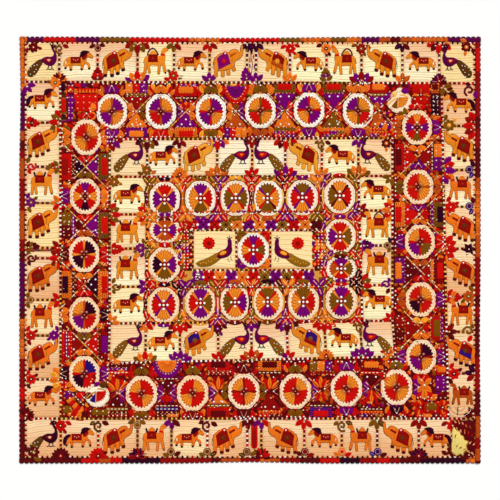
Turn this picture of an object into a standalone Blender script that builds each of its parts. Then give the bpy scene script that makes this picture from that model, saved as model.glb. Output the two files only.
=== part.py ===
"""Ralli quilt, spread out flat with its worked face up.

The quilted ground is one sheet.  On it lie the pieces that a maker cuts and sews down: two square rings of
pieced animal patches, the roundels between and inside them, two peacock panels and two rows of little
squares round the middle, and a scalloped edging along the four sides.

Sizes are in millimetres and are turned to metres where a mesh is made.  X runs along the quilt's width, Y
along its length, and Z up from the surface that it lies on.  The origin is the middle of its underside.
"""

from collections import namedtuple
from math import cos, pi, radians, sin

import bmesh
import bpy
from mathutils.geometry import tessellate_polygon

MM = 0.001

# Driving sizes, in mm
QUILT_WIDTH = 2400.0
QUILT_LENGTH = 2220.0
GROUND_THICK = 3.0
PIECE_GAP = 0.3  # between pieces that lie on or beside each other

# Scalloped edging
EDGING_WIDTH = 29.0
EDGING_THICK = 1.8
EDGING_OVERHANG = 12.0  # how far it stands out past the ground's own edge
SCALLOP_PITCH = 26.0
SCALLOP_DEPTH = 8.0
SCALLOP_SHOULDERS = (0.3, 0.7)  # where on its pitch a scallop reaches its full depth
GROUND_STEPS = 12  # straight runs along each side of the ground

# Pieced patches
SEAM_THICK = 1.2
PATCH_CROWN = 1.6  # how much a patch's middle stands above its seams
SEAM_SLOPE = 22.0  # width of the slope from a seam to a patch's flat middle
SQUARE_SLOPE = 14.0

# Roundels
ROUNDEL_CLOTH = 1.2
FLOWER_CLOTH = 1.2
FLOWER_SHARE = 0.8  # a flower's size in its roundel
PETALS = 18
PETAL_NOTCH = 0.07  # depth of the notch between two petals, as a share of the flower's radius
OCTAGON_CORNER = 8.0  # degrees that each of the octagon's rounded corners takes up on either side

Corners = namedtuple("Corners", "top_left top_right bottom_right bottom_left")
BORDER_OUTER = Corners((-1170, 1080), (1170, 1080), (1170, -1080), (-1170, -1080))
BORDER_INNER = Corners((-986, 874), (995, 866), (1031, -876), (-984, -876))
RING_OUTER = Corners((-729, 575), (740, 582), (756, -554), (-734, -588))
RING_INNER = Corners((-534, 380), (563, 385), (584, -367), (-539, -382))
LEFT_PANEL = Corners((-297, 101), (-72, 101), (-71, -95), (-297, -96))
RIGHT_PANEL = Corners((106, 99), (331, 99), (331, -96), (106, -94))

# One row for each line of little squares, from left to right.
Row = namedtuple("Row", "name corners count")
SQUARES = (
    Row("squares_upper", Corners((-331, 168), (374, 172), (374, 108), (-331, 107)), 12),
    Row("squares_lower", Corners((-300, -102), (335, -101), (335, -174), (-300, -176)), 11),
)

# One row for each strip of patches: the patches' widths run from left to right or from top to bottom.
Strip = namedtuple("Strip", "name outer inner side widths")
STRIPS = (
    Strip("border_top", BORDER_OUTER, BORDER_INNER, "top",
          (179, 200, 208, 190, 185, 195, 47, 177, 190, 182, 213, 192, 187)),
    Strip("border_bottom", BORDER_OUTER, BORDER_INNER, "bottom",
          (187, 195, 205, 177, 187, 208, 73, 224, 195, 185, 216, 174, 120)),
    Strip("border_left", BORDER_OUTER, BORDER_INNER, "left",
          (213, 231, 190, 234, 55, 218, 187, 229, 205)),
    Strip("border_right", BORDER_OUTER, BORDER_INNER, "right",
          (221, 229, 190, 218, 247, 185, 216, 234)),
    Strip("ring_top", RING_OUTER, RING_INNER, "top", (195, 169, 195, 182, 172, 190, 190, 177)),
    Strip("ring_bottom", RING_OUTER, RING_INNER, "bottom", (190, 179, 200, 174, 187, 198, 187, 172)),
    Strip("ring_left", RING_OUTER, RING_INNER, "left", (195, 177, 198, 190)),
    Strip("ring_right", RING_OUTER, RING_INNER, "right", (179, 182, 205, 185)),
)

# One row for each line of roundels: the places of their middles, and their width and length.
Line = namedtuple("Line", "name xs ys width length")
ROUNDELS = (
    Line("band_top", (-718, -463, -203, 54, 307, 562), (720, 720, 719, 723, 728, 724), 164, 186),
    Line("band_bottom", (-564, -298, -32, 236, 501, 762), (-746, -743, -735, -734, -721, -713), 168, 189),
    Line("band_left", (-850, -857, -862, -861, -861), (586, 279, -23, -337, -643), 162, 190),
    Line("band_right", (868, 875, 883, 887, 890), (637, 328, 42, -257, -555), 160, 184),
    Line("band_corner", (774, -785), (778, -772), 108, 90),
    Line("field_top", (-444, -257, -74, 91, 272, 466), (263, 268, 269, 269, 272, 282), 166, 187),
    Line("field_side", (468, -444), (70, -76), 168, 184),
    Line("field_short", (-442, 474), (104, -97), 166, 136),
    Line("field_bottom", (-449, -257, -78, 92, 277, 474), (-286, -276, -272, -270, -270, -266), 168, 189),
    Line("middle", (17,), (0,), 168, 184),
)

# One row for each side of the edging.  Going clockwise, each takes the corner that it ends at.  Its outer
# line bows in by sag at one place along it, given from the middle of the side, and over that reach.
Side = namedtuple("Side", "name along inward sag sag_at sag_reach")
SIDES = (
    Side("top", (1, 0), (0, -1), 6, -60, 900),
    Side("right", (0, -1), (-1, 0), 4, 480, 500),
    Side("bottom", (-1, 0), (0, 1), 7, 0, 420),
    Side("left", (0, 1), (1, 0), 6, 800, 400),
)

COLOURS = {
    "ground": (0.45, 0.02, 0.02),
    "edging": (0.36, 0.01, 0.01),
    "border": (0.86, 0.76, 0.50),
    "ring": (0.86, 0.78, 0.54),
    "panel": (0.84, 0.72, 0.44),
    "squares": (0.55, 0.10, 0.03),
    "roundel": (0.88, 0.80, 0.62),
}


def cloth(kind):
    """The matt dyed cotton of one kind of piece."""
    made = bpy.data.materials.get(kind)
    if made is None:
        made = bpy.data.materials.new(kind)
        made.use_nodes = True
        shader = made.node_tree.nodes["Principled BSDF"]
        shader.inputs["Base Color"].default_value = (*COLOURS[kind], 1)
        shader.inputs["Roughness"].default_value = 0.9
        shader.inputs["Metallic"].default_value = 0.0
    return made


def add_piece(name, kind, shape):
    """Turns a bmesh in millimetres to an object in metres."""
    bmesh.ops.recalc_face_normals(shape, faces=shape.faces)
    bmesh.ops.scale(shape, vec=(MM, MM, MM), verts=shape.verts)
    mesh = bpy.data.meshes.new(name)
    shape.to_mesh(mesh)
    shape.free()
    mesh.materials.append(cloth(kind))
    piece = bpy.data.objects.new(name, mesh)
    bpy.context.scene.collection.objects.link(piece)
    return piece


def loop_of(shape, outline, height):
    return [shape.verts.new((x, y, height)) for x, y in outline]


def wall(shape, low, high):
    """Quads that join two loops with as many points each."""
    for i, corner in enumerate(low):
        after = (i + 1) % len(low)
        shape.faces.new((corner, low[after], high[after], high[i]))


def flat_piece(name, kind, outline, bottom, thick):
    shape = bmesh.new()
    low = loop_of(shape, outline, bottom)
    high = loop_of(shape, outline, bottom + thick)
    shape.faces.new(low)
    shape.faces.new(high)
    wall(shape, low, high)
    return add_piece(name, kind, shape)


# Outer line, edging and ground


def side_start(side):
    """The outer corner that a side starts from, and the side's length."""
    half = (QUILT_WIDTH / 2, QUILT_LENGTH / 2)
    start = [-half[i] * (side.along[i] + side.inward[i]) for i in (0, 1)]
    length = QUILT_WIDTH if side.along[0] else QUILT_LENGTH
    return start, length


def sag(side, from_middle):
    """How far the outer line has bowed in, at a place along its side."""
    away = (from_middle - side.sag_at) / side.sag_reach
    return side.sag * cos(away * pi / 2) ** 2 if abs(away) < 1 else 0.0


def on_side(side, along, inward):
    """The point so far along a side from its start, and so far in from its straight outer line."""
    start, _ = side_start(side)
    return tuple(start[i] + side.along[i] * along + side.inward[i] * inward for i in (0, 1))


def edging(side):
    """A scalloped strip, from the inner edge of the side before it to its own outer corner."""
    _, length = side_start(side)
    first = EDGING_WIDTH + PIECE_GAP
    scallops = round((length - first) / SCALLOP_PITCH)
    pitch = (length - first) / scallops
    outline = [on_side(side, length, EDGING_WIDTH), on_side(side, first, EDGING_WIDTH)]
    for n in range(scallops):
        for share, depth in ((0, SCALLOP_DEPTH), *((s, 0) for s in SCALLOP_SHOULDERS)):
            along = first + (n + share) * pitch
            outline.append(on_side(side, along, depth + sag(side, along - length / 2)))
    outline.append(on_side(side, length, SCALLOP_DEPTH))
    return flat_piece("edging_" + side.name, "edging", outline, GROUND_THICK + PIECE_GAP, EDGING_THICK)


def ground():
    """The quilted sheet under all the rest."""
    outline = []
    for side in SIDES:
        _, length = side_start(side)
        run = (length - 2 * EDGING_OVERHANG) / GROUND_STEPS
        for n in range(GROUND_STEPS):
            along = EDGING_OVERHANG + n * run
            bow = sag(side, along - length / 2) if n else 0.0
            outline.append(on_side(side, along, EDGING_OVERHANG + bow))
    return flat_piece("ground", "ground", outline, 0.0, GROUND_THICK)


# Pieced strips and panels


def strip_corners(strip):
    """A strip's four corners: the top and bottom strips of a ring take its corner patches."""
    outer, inner = strip.outer, strip.inner
    left, right = outer.top_left[0], outer.top_right[0]
    upper = ((left, inner.top_left[1]), (right, inner.top_right[1]))
    lower = ((left, inner.bottom_left[1]), (right, inner.bottom_right[1]))

    def on_line(line, x):
        (x0, y0), (x1, y1) = line
        return x, y0 + (y1 - y0) * (x - x0) / (x1 - x0)

    inner_left = on_line(upper, inner.top_left[0]), on_line(lower, inner.bottom_left[0])
    inner_right = on_line(upper, inner.top_right[0]), on_line(lower, inner.bottom_right[0])
    return {
        "top": Corners(outer.top_left, outer.top_right, upper[1], upper[0]),
        "bottom": Corners(lower[0], lower[1], outer.bottom_right, outer.bottom_left),
        "left": Corners(upper[0], inner_left[0], inner_left[1], lower[0]),
        "right": Corners(inner_right[0], upper[1], lower[1], inner_right[1]),
    }[strip.side]


def pulled_in(corners):
    """The same corners, half a gap further in, so that two strips stay a gap apart."""
    signs = Corners((1, -1), (-1, -1), (-1, 1), (1, 1))
    half = PIECE_GAP / 2
    return Corners(*((x + sx * half, y + sy * half) for (x, y), (sx, sy) in zip(corners, signs)))


def between(corners, across, down):
    """The point at those shares of a four-cornered piece's width and length."""
    def mix(a, b, share):
        return tuple(p + (q - p) * share for p, q in zip(a, b))

    upper = mix(corners.top_left, corners.top_right, across)
    lower = mix(corners.bottom_left, corners.bottom_right, across)
    return mix(upper, lower, down)


def crossings(widths, slope):
    """Each grid line across a strip, as its share of the strip's length and whether it is a seam."""
    total = sum(widths)
    lines, at = [(0.0, True)], 0.0
    for width in widths:
        step = min(slope, width / 3)
        lines += [((at + step) / total, False), ((at + width - step) / total, False)]
        at += width
        lines.append((at / total, True))
    return lines


def pieced(name, kind, corners, widths, downwards=False, slope=SEAM_SLOPE):
    """Crowned patches, sewn side by side: one solid, low at its seams and at its rim."""
    corners = pulled_in(corners)
    width = corners.top_right[0] - corners.top_left[0]
    length = corners.top_left[1] - corners.bottom_left[1]
    along = crossings(widths, slope)
    across = crossings((width if downwards else length,), slope)
    bottom = GROUND_THICK + PIECE_GAP
    shape = bmesh.new()
    grid = []
    for share, seam in along:
        line = []
        for other, rim in across:
            x, y = between(corners, *((other, share) if downwards else (share, other)))
            crown = 0.0 if seam or rim else PATCH_CROWN
            line.append(shape.verts.new((x, y, bottom + SEAM_THICK + crown)))
        grid.append(line)
    for near, far in zip(grid, grid[1:]):
        for i in range(len(near) - 1):
            shape.faces.new((near[i], near[i + 1], far[i + 1], far[i]))
    top_rim = (grid[0][:-1] + [line[-1] for line in grid[:-1]]
               + grid[-1][:0:-1] + [line[0] for line in grid[:0:-1]])
    low = [shape.verts.new((v.co.x, v.co.y, bottom)) for v in top_rim]
    shape.faces.new(low)
    wall(shape, low, top_rim)
    return add_piece(name, kind, shape)


# Roundels


def octagon(x, y, width, length):
    """An octagon whose eight corners are rounded off, so it has sixteen points."""
    turns = [radians(22.5 + 45 * n + side * OCTAGON_CORNER) for n in range(8) for side in (-1, 1)]
    return [(x + cos(t) * width / 2, y + sin(t) * length / 2) for t in turns]


def flower(x, y, width, length):
    """A ring of petals with pointed notches between them."""
    points = []
    for n in range(2 * PETALS):
        turn = n * pi / PETALS
        reach = FLOWER_SHARE * (1 - PETAL_NOTCH * (n % 2))
        points.append((x + cos(turn) * reach * width / 2, y + sin(turn) * reach * length / 2))
    return points


def roundel(name, x, y, width, length):
    """A cloth octagon with a raised flower on it."""
    bottom = GROUND_THICK + PIECE_GAP
    cloth_top = bottom + ROUNDEL_CLOTH
    rim_outline = octagon(x, y, width, length)
    petal_outline = flower(x, y, width, length)
    shape = bmesh.new()
    low = loop_of(shape, rim_outline, bottom)
    rim = loop_of(shape, rim_outline, cloth_top)
    root = loop_of(shape, petal_outline, cloth_top)
    crown = loop_of(shape, petal_outline, cloth_top + FLOWER_CLOTH)
    shape.faces.new(low)
    shape.faces.new(crown)
    wall(shape, low, rim)
    wall(shape, root, crown)
    corners = rim + root
    for face in tessellate_polygon([[v.co for v in rim], [v.co for v in root]]):
        shape.faces.new([corners[i] for i in face])
    return add_piece(name, "roundel", shape)


def build():
    for thing in list(bpy.data.objects):
        bpy.data.objects.remove(thing)
    ground()
    for side in SIDES:
        edging(side)
    for strip in STRIPS:
        kind = strip.name.split("_")[0]
        pieced(strip.name, kind, strip_corners(strip), strip.widths, strip.side in ("left", "right"))
    for name, corners in (("panel_left", LEFT_PANEL), ("panel_right", RIGHT_PANEL)):
        pieced(name, "panel", corners, (1,))
    for row in SQUARES:
        side = (row.corners.top_right[0] - row.corners.top_left[0]) / row.count
        pieced(row.name, "squares", row.corners, (side,) * row.count, slope=SQUARE_SLOPE)
    for line in ROUNDELS:
        for n, (x, y) in enumerate(zip(line.xs, line.ys), start=1):
            roundel(f"roundel_{line.name}_{n}", x, y, line.width, line.length)


build()
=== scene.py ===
"""Ralli quilt, spread out flat with its worked face up: the finish of every cloth, cut piece and stitch.

Sizes are in millimetres and are turned to metres where a mesh is made.  X runs along the quilt's width, Y
along its length, and Z up from the surface that it lies on.
"""

from collections import namedtuple
from math import atan2, ceil, cos, degrees, hypot, pi, radians, sin, sqrt
from random import Random

import bpy
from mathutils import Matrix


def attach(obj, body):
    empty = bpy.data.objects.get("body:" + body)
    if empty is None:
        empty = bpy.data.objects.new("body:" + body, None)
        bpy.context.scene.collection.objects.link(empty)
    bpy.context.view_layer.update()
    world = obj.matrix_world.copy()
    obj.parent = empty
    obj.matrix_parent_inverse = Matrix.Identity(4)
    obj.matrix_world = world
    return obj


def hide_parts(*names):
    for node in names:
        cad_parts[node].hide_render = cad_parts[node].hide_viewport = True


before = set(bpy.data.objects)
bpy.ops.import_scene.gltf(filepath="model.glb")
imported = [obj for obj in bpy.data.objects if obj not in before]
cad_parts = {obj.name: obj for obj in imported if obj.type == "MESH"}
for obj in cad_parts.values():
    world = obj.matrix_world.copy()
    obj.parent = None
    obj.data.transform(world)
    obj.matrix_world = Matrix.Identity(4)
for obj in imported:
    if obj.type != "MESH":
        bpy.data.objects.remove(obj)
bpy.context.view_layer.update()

MM = 0.001

# The cloths' sizes, in mm
QUILT_WIDTH = 2400.0
QUILT_LENGTH = 2220.0
GROUND_THICK = 3.0
PIECE_GAP = 0.3
EDGING_WIDTH = 29.0
EDGING_OVERHANG = 12.0
SCALLOP_PITCH = 26.0
SCALLOP_DEPTH = 8.0
SEAM_SLOPE = 22.0  # width of the slope from a seam to a patch's middle
SQUARE_SLOPE = 14.0
OCTAGON_CORNER = 3.0  # degrees that each of an octagon's rounded corners takes up on either side

# Heights, in mm
SEAM_TOP = 4.5
PATCH_TOP = 6.1
BAND_TOP = 4.3  # the maroon and the cream cloth that the small pieces are sewn to
SUNK = 1.6  # how far a cut piece's edge is drawn down into the cloth under it
PLY = 0.75  # each further layer of cut cloth

# Sewing
QUILTING_PITCH = 12.6  # between two rows of running stitches
QUILTING_DEPTH = 0.45
STITCH_PITCH = 6.5  # along a row
ACROSS_STEP = 12.5  # the mesh's step along a row of quilting
DASH = 15.0  # one block of the sashing
DASH_PITCH = 24.0  # from one block to the next

# Dyes, as sRGB hex
DYES = {
    "r": "C60E08",  # red
    "d": "8E0C08",  # madder
    "m": "5C090C",  # maroon
    "k": "30051A",  # black plum
    "q": "5A0440",  # plum
    "p": "740468",  # purple
    "u": "2A0E6A",  # indigo
    "o": "E8701A",  # orange
    "h": "EA841C",  # amber
    "g": "F09C2C",  # marigold
    "t": "B8480F",  # rust
    "b": "7C4A08",  # walnut
    "n": "57300A",  # dark olive
    "f": "96620E",  # olive gold
    "a": "A89A6C",  # dry sage
    "l": "C08C38",  # straw
    "y": "F4BE54",  # gold
    "s": "F0AC88",  # faded pink
    "c": "FBE6BC",  # cream
    "e": "FFD4A6",  # ecru
    "w": "FFFAEE",  # white
    "v": "E2C870",  # faded yellow
}

Corners = namedtuple("Corners", "top_left top_right bottom_right bottom_left")
BORDER_OUTER = Corners((-1170, 1080), (1170, 1080), (1170, -1080), (-1170, -1080))
BORDER_INNER = Corners((-986, 874), (995, 866), (1031, -876), (-984, -876))
RING_OUTER = Corners((-729, 575), (740, 582), (756, -554), (-734, -588))
RING_INNER = Corners((-534, 380), (563, 385), (584, -367), (-539, -382))
LEFT_PANEL = Corners((-297, 101), (-72, 101), (-71, -95), (-297, -96))
RIGHT_PANEL = Corners((106, 99), (331, 99), (331, -96), (106, -94))

# One row for each strip of patches: the patches' widths run from left to right or from top to bottom.
# figures names what is sewn on each patch, lift moves the figures up, and outer_sprigs and inner_sprigs are
# what is sewn over the ends of the seams, all in the same order.  Each sprig is its form and its dyes.
Strip = namedtuple("Strip", "name outer inner side widths figures lift outer_sprigs inner_sprigs")
STRIPS = (
    Strip("border_top", BORDER_OUTER, BORDER_INNER, "top",
          (179, 200, 208, 190, 185, 195, 47, 177, 190, 182, 213, 192, 187),
          "peacock horse elephant_hoof camel_arch horse elephant_purple stem elephant_gold horse"
          " camel_arch elephant horse peacock", 4,
          "rose_md curl_bd ring_mm fan_dbd leaf_bd leaf_rd leaf_k leaf_k rose_rr rose_om rose_db"
          " leaf_km fan_rm rose_mo",
          "half_mom tower_dr fan_rop rose_rbo leaf_pp tower_pp leaf_pp leaf_oo tower_bp fan_dp"
          " leaf_to half_mmq"),
    Strip("border_bottom", BORDER_OUTER, BORDER_INNER, "bottom",
          (187, 195, 205, 177, 187, 208, 73, 224, 195, 185, 216, 174, 120),
          "peacock_dark horse_black elephant camel horse elephant thistle elephant horse camel elephant"
          " horse_black rag", 0,
          "rose_mb half_mm half_rr half_dk ring_bm ring_bn ring_nb half_mr ring_md ring_or ring_um half_mk"
          " rose_mb leaf_m",
          "rose_rd curl_nm ring_bb leaf_pm curl_mm leaf_m leaf_pr leaf_r curl_bn leaf_bn leaf_d rose_rd"),
    Strip("border_left", BORDER_OUTER, BORDER_INNER, "left",
          (213, 231, 190, 234, 55, 218, 187, 229, 205),
          "horse_black elephant camel elephant leaves elephant camel elephant horse", 14,
          "leaf_p tower_rm curl_rb rose_pb tower_mb curl_mb ring_bb rose_rd rose_rm half_mm",
          "rose_ob fan_rb tower_br leaf_or leaf_dd fan_rd leaf_rr rose_pp fan_ogo"),
    Strip("border_right", BORDER_OUTER, BORDER_INNER, "right",
          (221, 229, 190, 218, 247, 185, 216, 234),
          "horse_black elephant camel elephant elephant camel elephant_hem camel_dull", 8,
          "curl_mp fan_rd ring_uk ring_um star_kk rose_tb curl_br leaf_kd leaf_m",
          "tower_bm rose_bg fan_prp rose_rr fan_rr tower_ro leaf_md rose_rm"),
    Strip("ring_top", RING_OUTER, RING_INNER, "top", (195, 169, 195, 182, 172, 190, 190, 177),
          "peacock_olive horse elephant_ring peacock_red peacock_red elephant_ring horse peacock_olive", 10,
          "fan_pdo fan_mbm leaf_md fan_rpo leaf_dd fan_rm curl_bm leaf_pp rose_mo",
          "rose_bto half_oo fan_to leaf_rr fan_pr leaf_oo fan_tob"),
    Strip("ring_bottom", RING_OUTER, RING_INNER, "bottom", (190, 179, 200, 174, 187, 198, 187, 172),
          "peacock_olive horse elephant_blue peacock_red peacock_red elephant_blue horse peacock_red", 6,
          "leaf_oo fan_rob fan_pp leaf_rr fan_rtr leaf_rp half_oo fan_pp rose_or",
          "leaf_or fan_rrd rose_mp leaf_p fan_mp fan_rr curl_bm"),
    Strip("ring_left", RING_OUTER, RING_INNER, "left", (195, 177, 198, 190),
          "horse camel camel horse", 6,
          "rose_bt fan_rb tower_rr curl_bb leaf_o", "fan_or rose_pb leaf_pp"),
    Strip("ring_right", RING_OUTER, RING_INNER, "right", (179, 182, 205, 185),
          "horse camel_arch camel horse", 16,
          "leaf_bb fan_or ring_bk curl_pm leaf_r", "leaf_dd tower_pk fan_rb"),
)

# One row for each line of roundels: the places of their middles, their width and length, and for each
# roundel its flower's dyes (see flower_dyes).  around has the dyes of the hearts at its top, right, bottom
# and left, or in the field of the leaves at its upper left, upper right, lower left and lower right.
Line = namedtuple("Line", "name kind xs ys width length flowers around")
ROUNDELS = (
    Line("band_top", "band", (-718, -463, -203, 54, 307, 562), (720, 720, 719, 723, 728, 724),
         164, 186, "opopt poprt opopr ororb popor porob", "popo oprb bobo bptp prpr otpr"),
    Line("band_bottom", "band", (-564, -298, -32, 236, 501, 762), (-746, -743, -735, -734, -721, -713),
         168, 189, "ororr roror orord roror roror orort", "bpbp bpdp mbmb bpbm pppt bpkm"),
    Line("band_left", "band", (-850, -857, -862, -861, -861), (586, 279, -23, -337, -643), 162, 190,
         "rorot prorkror rkrko okrpt ourkr", "roro borp trom rkbo oprk"),
    Line("band_right", "band", (868, 875, 883, 887, 890), (637, 328, 42, -257, -555), 160, 184,
         "orprbrpr roort orbpr rorkt okopd", "rpot ptpb ortp rpgt oprp"),
    Line("band_corner", "corner", (776, -793), (771, -757), 128, 120, "obyppyc rulnrmp", "oooo oooo"),
    Line("field_top", "field", (-444, -257, -74, 91, 272, 466), (263, 268, 269, 269, 272, 282),
         166, 187, "rpbpo prboo opbropbr brombrop brorp orobm", "boor rbop prrg rmrr ropb pbrp"),
    Line("field_side", "field", (468, -444), (70, -76), 168, 184, "rbrpo opbko", "prob bprr"),
    Line("field_short", "field", (-442, 474), (104, -97), 166, 136, "toprtopo poborotr", "orob prrk"),
    Line("field_bottom", "field", (-449, -257, -78, 92, 277, 474), (-286, -276, -272, -270, -270, -266),
         168, 189, "ororp pbpro opobr bopor brpot prboprbo", "rkrb pbor ropb rmrp oprt bkor"),
    Line("middle", "middle", (17,), (0,), 168, 184, "prbrpror", "pbrp"),
)

# What fills the band between two roundels.  First come the rows of the wedge that opens outwards, from the
# quilt's edge to the crossing, and then those of the wedge that opens inwards.  block() says how a row's
# letters are read.  The last is the wedge's point, with its dye and how many white dots it has.
CROSSINGS = {
    "band_top": ("orp|. b. d2/p=o o2", "rprp. r=o m- o0/o=r p3", "bgrb. r(p b0/oorp|. t2",
                 "b=r p2/pr. rp. b o2", "b=r p2/rbp. bpr o^o b2", "r=o b- p2/rp. r^o r^o t2"),
    "band_bottom": ("d. m. b- m2/om. m p. r- o0", "om. m. u- m- r0/p(o m- m2", "r=m b- o2/r=m d. o0",
                    "mr. r^o d2/o=m m- o0", "u=r m- o0/bop|. d o0", "bmu. r^o m- o0/m=o r- m2"),
    "band_left": ("r=d m. k2/b=r p2", "mb|. p- m2/b=r p2", "o=k m. r0/o=r k3", "r p- r d2/m=p r2"),
    "band_right": ("op|. m- d2/r=m r2", "b=k p. r0/o=r r2", "m=r o. d2/p=o m2", "p. r=b r0/md|. d2"),
}
# The band's corners.  Each block's middle, width, length and letters, and its turn where it has one.
CORNER_BLOCKS = (
    (-971, 835, 31, 68, "b=k"), (-932, 840, 36, 57, "kp."), (-932, 738, 33, 135, "p."),
    (-971, 733, 31, 125, "b=r"), (-849, 857, 122, 24, "rpmr"), (-849, 828, 122, 26, "r^o"),
    (-849, 766, 122, 92, "r."),
    (888, 837, 92, 56, "r"), (962, 840, 44, 50, "o=m"), (964, 751, 44, 116, "k."),
    (888, 768, 96, 64, "d=r."),
    (-966, -690, 36, 66, "r."), (-950, -757, 54, 50, "d."), (-950, -838, 66, 60, "m=b."),
    (-909, -809, 100, 34, "ororo", -45), (-893, -777, 92, 14, "m-", -45), (-780, -850, 130, 50, "m=b."),
    (996, -580, 62, 36, "k."), (996, -627, 62, 47, "r=o"), (991, -694, 60, 78, "p."),
    (906, -702, 94, 96, "m"), (943, -768, 166, 30, "mrm."), (943, -822, 80, 62, "r=b."),
    (943, -861, 166, 24, "romr."),
)
# The sprigs sewn over them: form, dyes, root, turn and size.
CORNER_SPRIGS = (
    ("half", "oto", 888, 806, 90, 1.3), ("rose", "ro", -945, 845, -45, 0.9),
    ("half", "ror", 885, -818, 180, 1.2), ("half", "ror", 1001, -818, 0, 1.2),
    ("fan", "oro", 906, -775, 90, 1.3), ("fan", "ror", -925, -868, 60, 1.2),
    ("leaf", "po", -946, -730, -50, 1.2), ("fan", "opo", 702, 660, -90, 1.0),
    ("rose", "pm", -740, 552, 40, 1.0), ("fan", "dro", -700, -640, -60, 0.9),
    ("fan", "rdo", 700, -640, 200, 0.9), ("tower", "ml", -830, -690, 60, 0.9),
    ("leaf", "bo", 806, 700, 150, 1.1),
)

# One row for each line of little squares, from left to right.  drop is how far under its piece's top edge
# the squares start.
Row = namedtuple("Row", "name corners drop dyes")
SQUARES = (
    Row("squares_upper", Corners((-331, 168), (374, 172), (374, 108), (-331, 107)), 8, "rprbopopbrom"),
    Row("squares_lower", Corners((-300, -102), (335, -101), (335, -174), (-300, -176)), 2, "proporbpbrp"),
)

# One row for each side of the edging.  Going clockwise, each takes the corner that it ends at.  Its outer
# line bows in by sag at one place along it, given from the middle of the side, and over that reach.  dyes
# are the lengths of each dye along it, from its start.
Side = namedtuple("Side", "name along inward sag sag_at sag_reach dyes")
SIDES = (
    Side("top", (1, 0), (0, -1), 6, -60, 900,
         "o40 q85 r170 q125 b150 r310 o165 r305 b115 o155 b85 o75 q90 t60 m50 t60 o190 q160"),
    Side("right", (0, -1), (-1, 0), 4, 480, 500,
         "d60 r120 d240 m60 d100 m155 t60 o250 t100 d200 m60 d50 m210 d180 m130 t110 d60 t60 m20"),
    Side("bottom", (-1, 0), (0, 1), 7, 0, 420,
         "o75 k240 m105 d60 r60 d90 k105 r100 m105 d105 t50 o50 d105 t100 m50 d265 k200 r60 t60 r90"
         " m330"),
    Side("left", (0, 1), (1, 0), 6, 800, 400,
         "m230 d105 r60 d150 o100 t60 o45 m50 q255 m50 d60 t150 d165 t105 d45 m50 t50 q210 o300"),
)


# Colour


def linear(colour):
    """An sRGB hex colour as linear light."""
    parts = (int(colour[i:i + 2], 16) / 255 for i in (0, 2, 4))
    return tuple(p / 12.92 if p <= 0.04045 else ((p + 0.055) / 1.055) ** 2.4 for p in parts)


INKS = {letter: linear(colour) for letter, colour in DYES.items()}


def toned(ink, share):
    """The same colour, so many times as bright."""
    return tuple(min(1.0, part * share) for part in ink)


def mixed(ink, other, share):
    return tuple(a + (b - a) * share for a, b in zip(ink, other))


# Materials


def add(tree, kind, inputs=None, **settings):
    """Adds one shader node, with its settings and with each input's value or the socket that feeds it."""
    made = tree.nodes.new("ShaderNode" + kind)
    for name, value in settings.items():
        setattr(made, name, value)
    for name, value in (inputs or {}).items():
        if isinstance(value, bpy.types.NodeSocket):
            tree.links.new(value, made.inputs[name])
        else:
            made.inputs[name].default_value = value
    return made


def finish_of(name, roughness, sheen, specular=0.02):
    """A new material and its shader, with what is the same all over its surface."""
    made = bpy.data.materials.new(name)
    made.use_nodes = True
    shader = made.node_tree.nodes["Principled BSDF"]
    shader.inputs["Roughness"].default_value = roughness
    shader.inputs["Sheen Weight"].default_value = sheen
    shader.inputs["Sheen Roughness"].default_value = 0.5
    shader.inputs["Specular IOR Level"].default_value = specular
    return made, made.node_tree, shader


def counted(tree, operation, *values):
    """One step of arithmetic, on numbers and sockets."""
    return add(tree, "Math", dict(enumerate(values)), operation=operation).outputs[0]


def scaled(tree, value, share):
    return add(tree, "VectorMath", {0: value, "Scale": share}, operation="SCALE").outputs["Vector"]


def place_of(tree):
    """Each point's place on the quilt."""
    return add(tree, "TexCoord").outputs["Object"]


def dye_of(tree):
    """What each point was dyed with."""
    return add(tree, "Attribute", attribute_name="dye").outputs["Color"]


def rows_of(tree):
    """Each point's place along a row of stitches, and across the rows."""
    return add(tree, "UVMap", uv_map="Rows").outputs["UV"]


def threads(tree, place, spacing):
    """How high a plain weave stands, from 0 to 1: its threads cross over and under each other."""
    turns = 2 * pi / (spacing * MM)
    parts = add(tree, "SeparateXYZ", {"Vector": place}).outputs
    waves = [counted(tree, "SINE", counted(tree, "MULTIPLY", parts[axis], turns)) for axis in "XY"]
    crossed = counted(tree, "MULTIPLY", *waves)
    return add(tree, "MapRange", {"Value": crossed, "From Min": -1.0, "From Max": 1.0}).outputs[0]


def slubs(tree, place, size, detail=3.0):
    """Uneven spots of about one size, from 0 to 1."""
    spots = add(tree, "TexNoise", {"Vector": place, "Scale": 1 / (size * MM), "Detail": detail})
    return spots.outputs["Fac"]


def tinted(tree, ink, spots, low, high):
    """The dye, fainter and fuller with the spots."""
    limits = {"From Min": 0.3, "From Max": 0.7, "To Min": low, "To Max": high}
    return scaled(tree, ink, add(tree, "MapRange", {"Value": spots, **limits}).outputs[0])


def coloured(tree, shader, *tint):
    tree.links.new(tinted(tree, *tint), shader.inputs["Base Color"])


def bumped(tree, shader, height, depth):
    bump = add(tree, "Bump", {"Height": height, "Distance": depth * MM, "Strength": 0.8})
    tree.links.new(bump.outputs["Normal"], shader.inputs["Normal"])


THREAD_SPACING = 1.3  # a hand-woven cotton has two threads to the mm: drawn coarser, so that it shows
STITCH_SHARE = 0.55  # how much of the running thread is on top of the cloth
STITCH_SHIFT = 0.37  # how far each row of stitches starts after the last
ROW_REACH = {"From Min": 0.12, "From Max": 0.06}  # where a row's dip begins and where its thread lies


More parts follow.
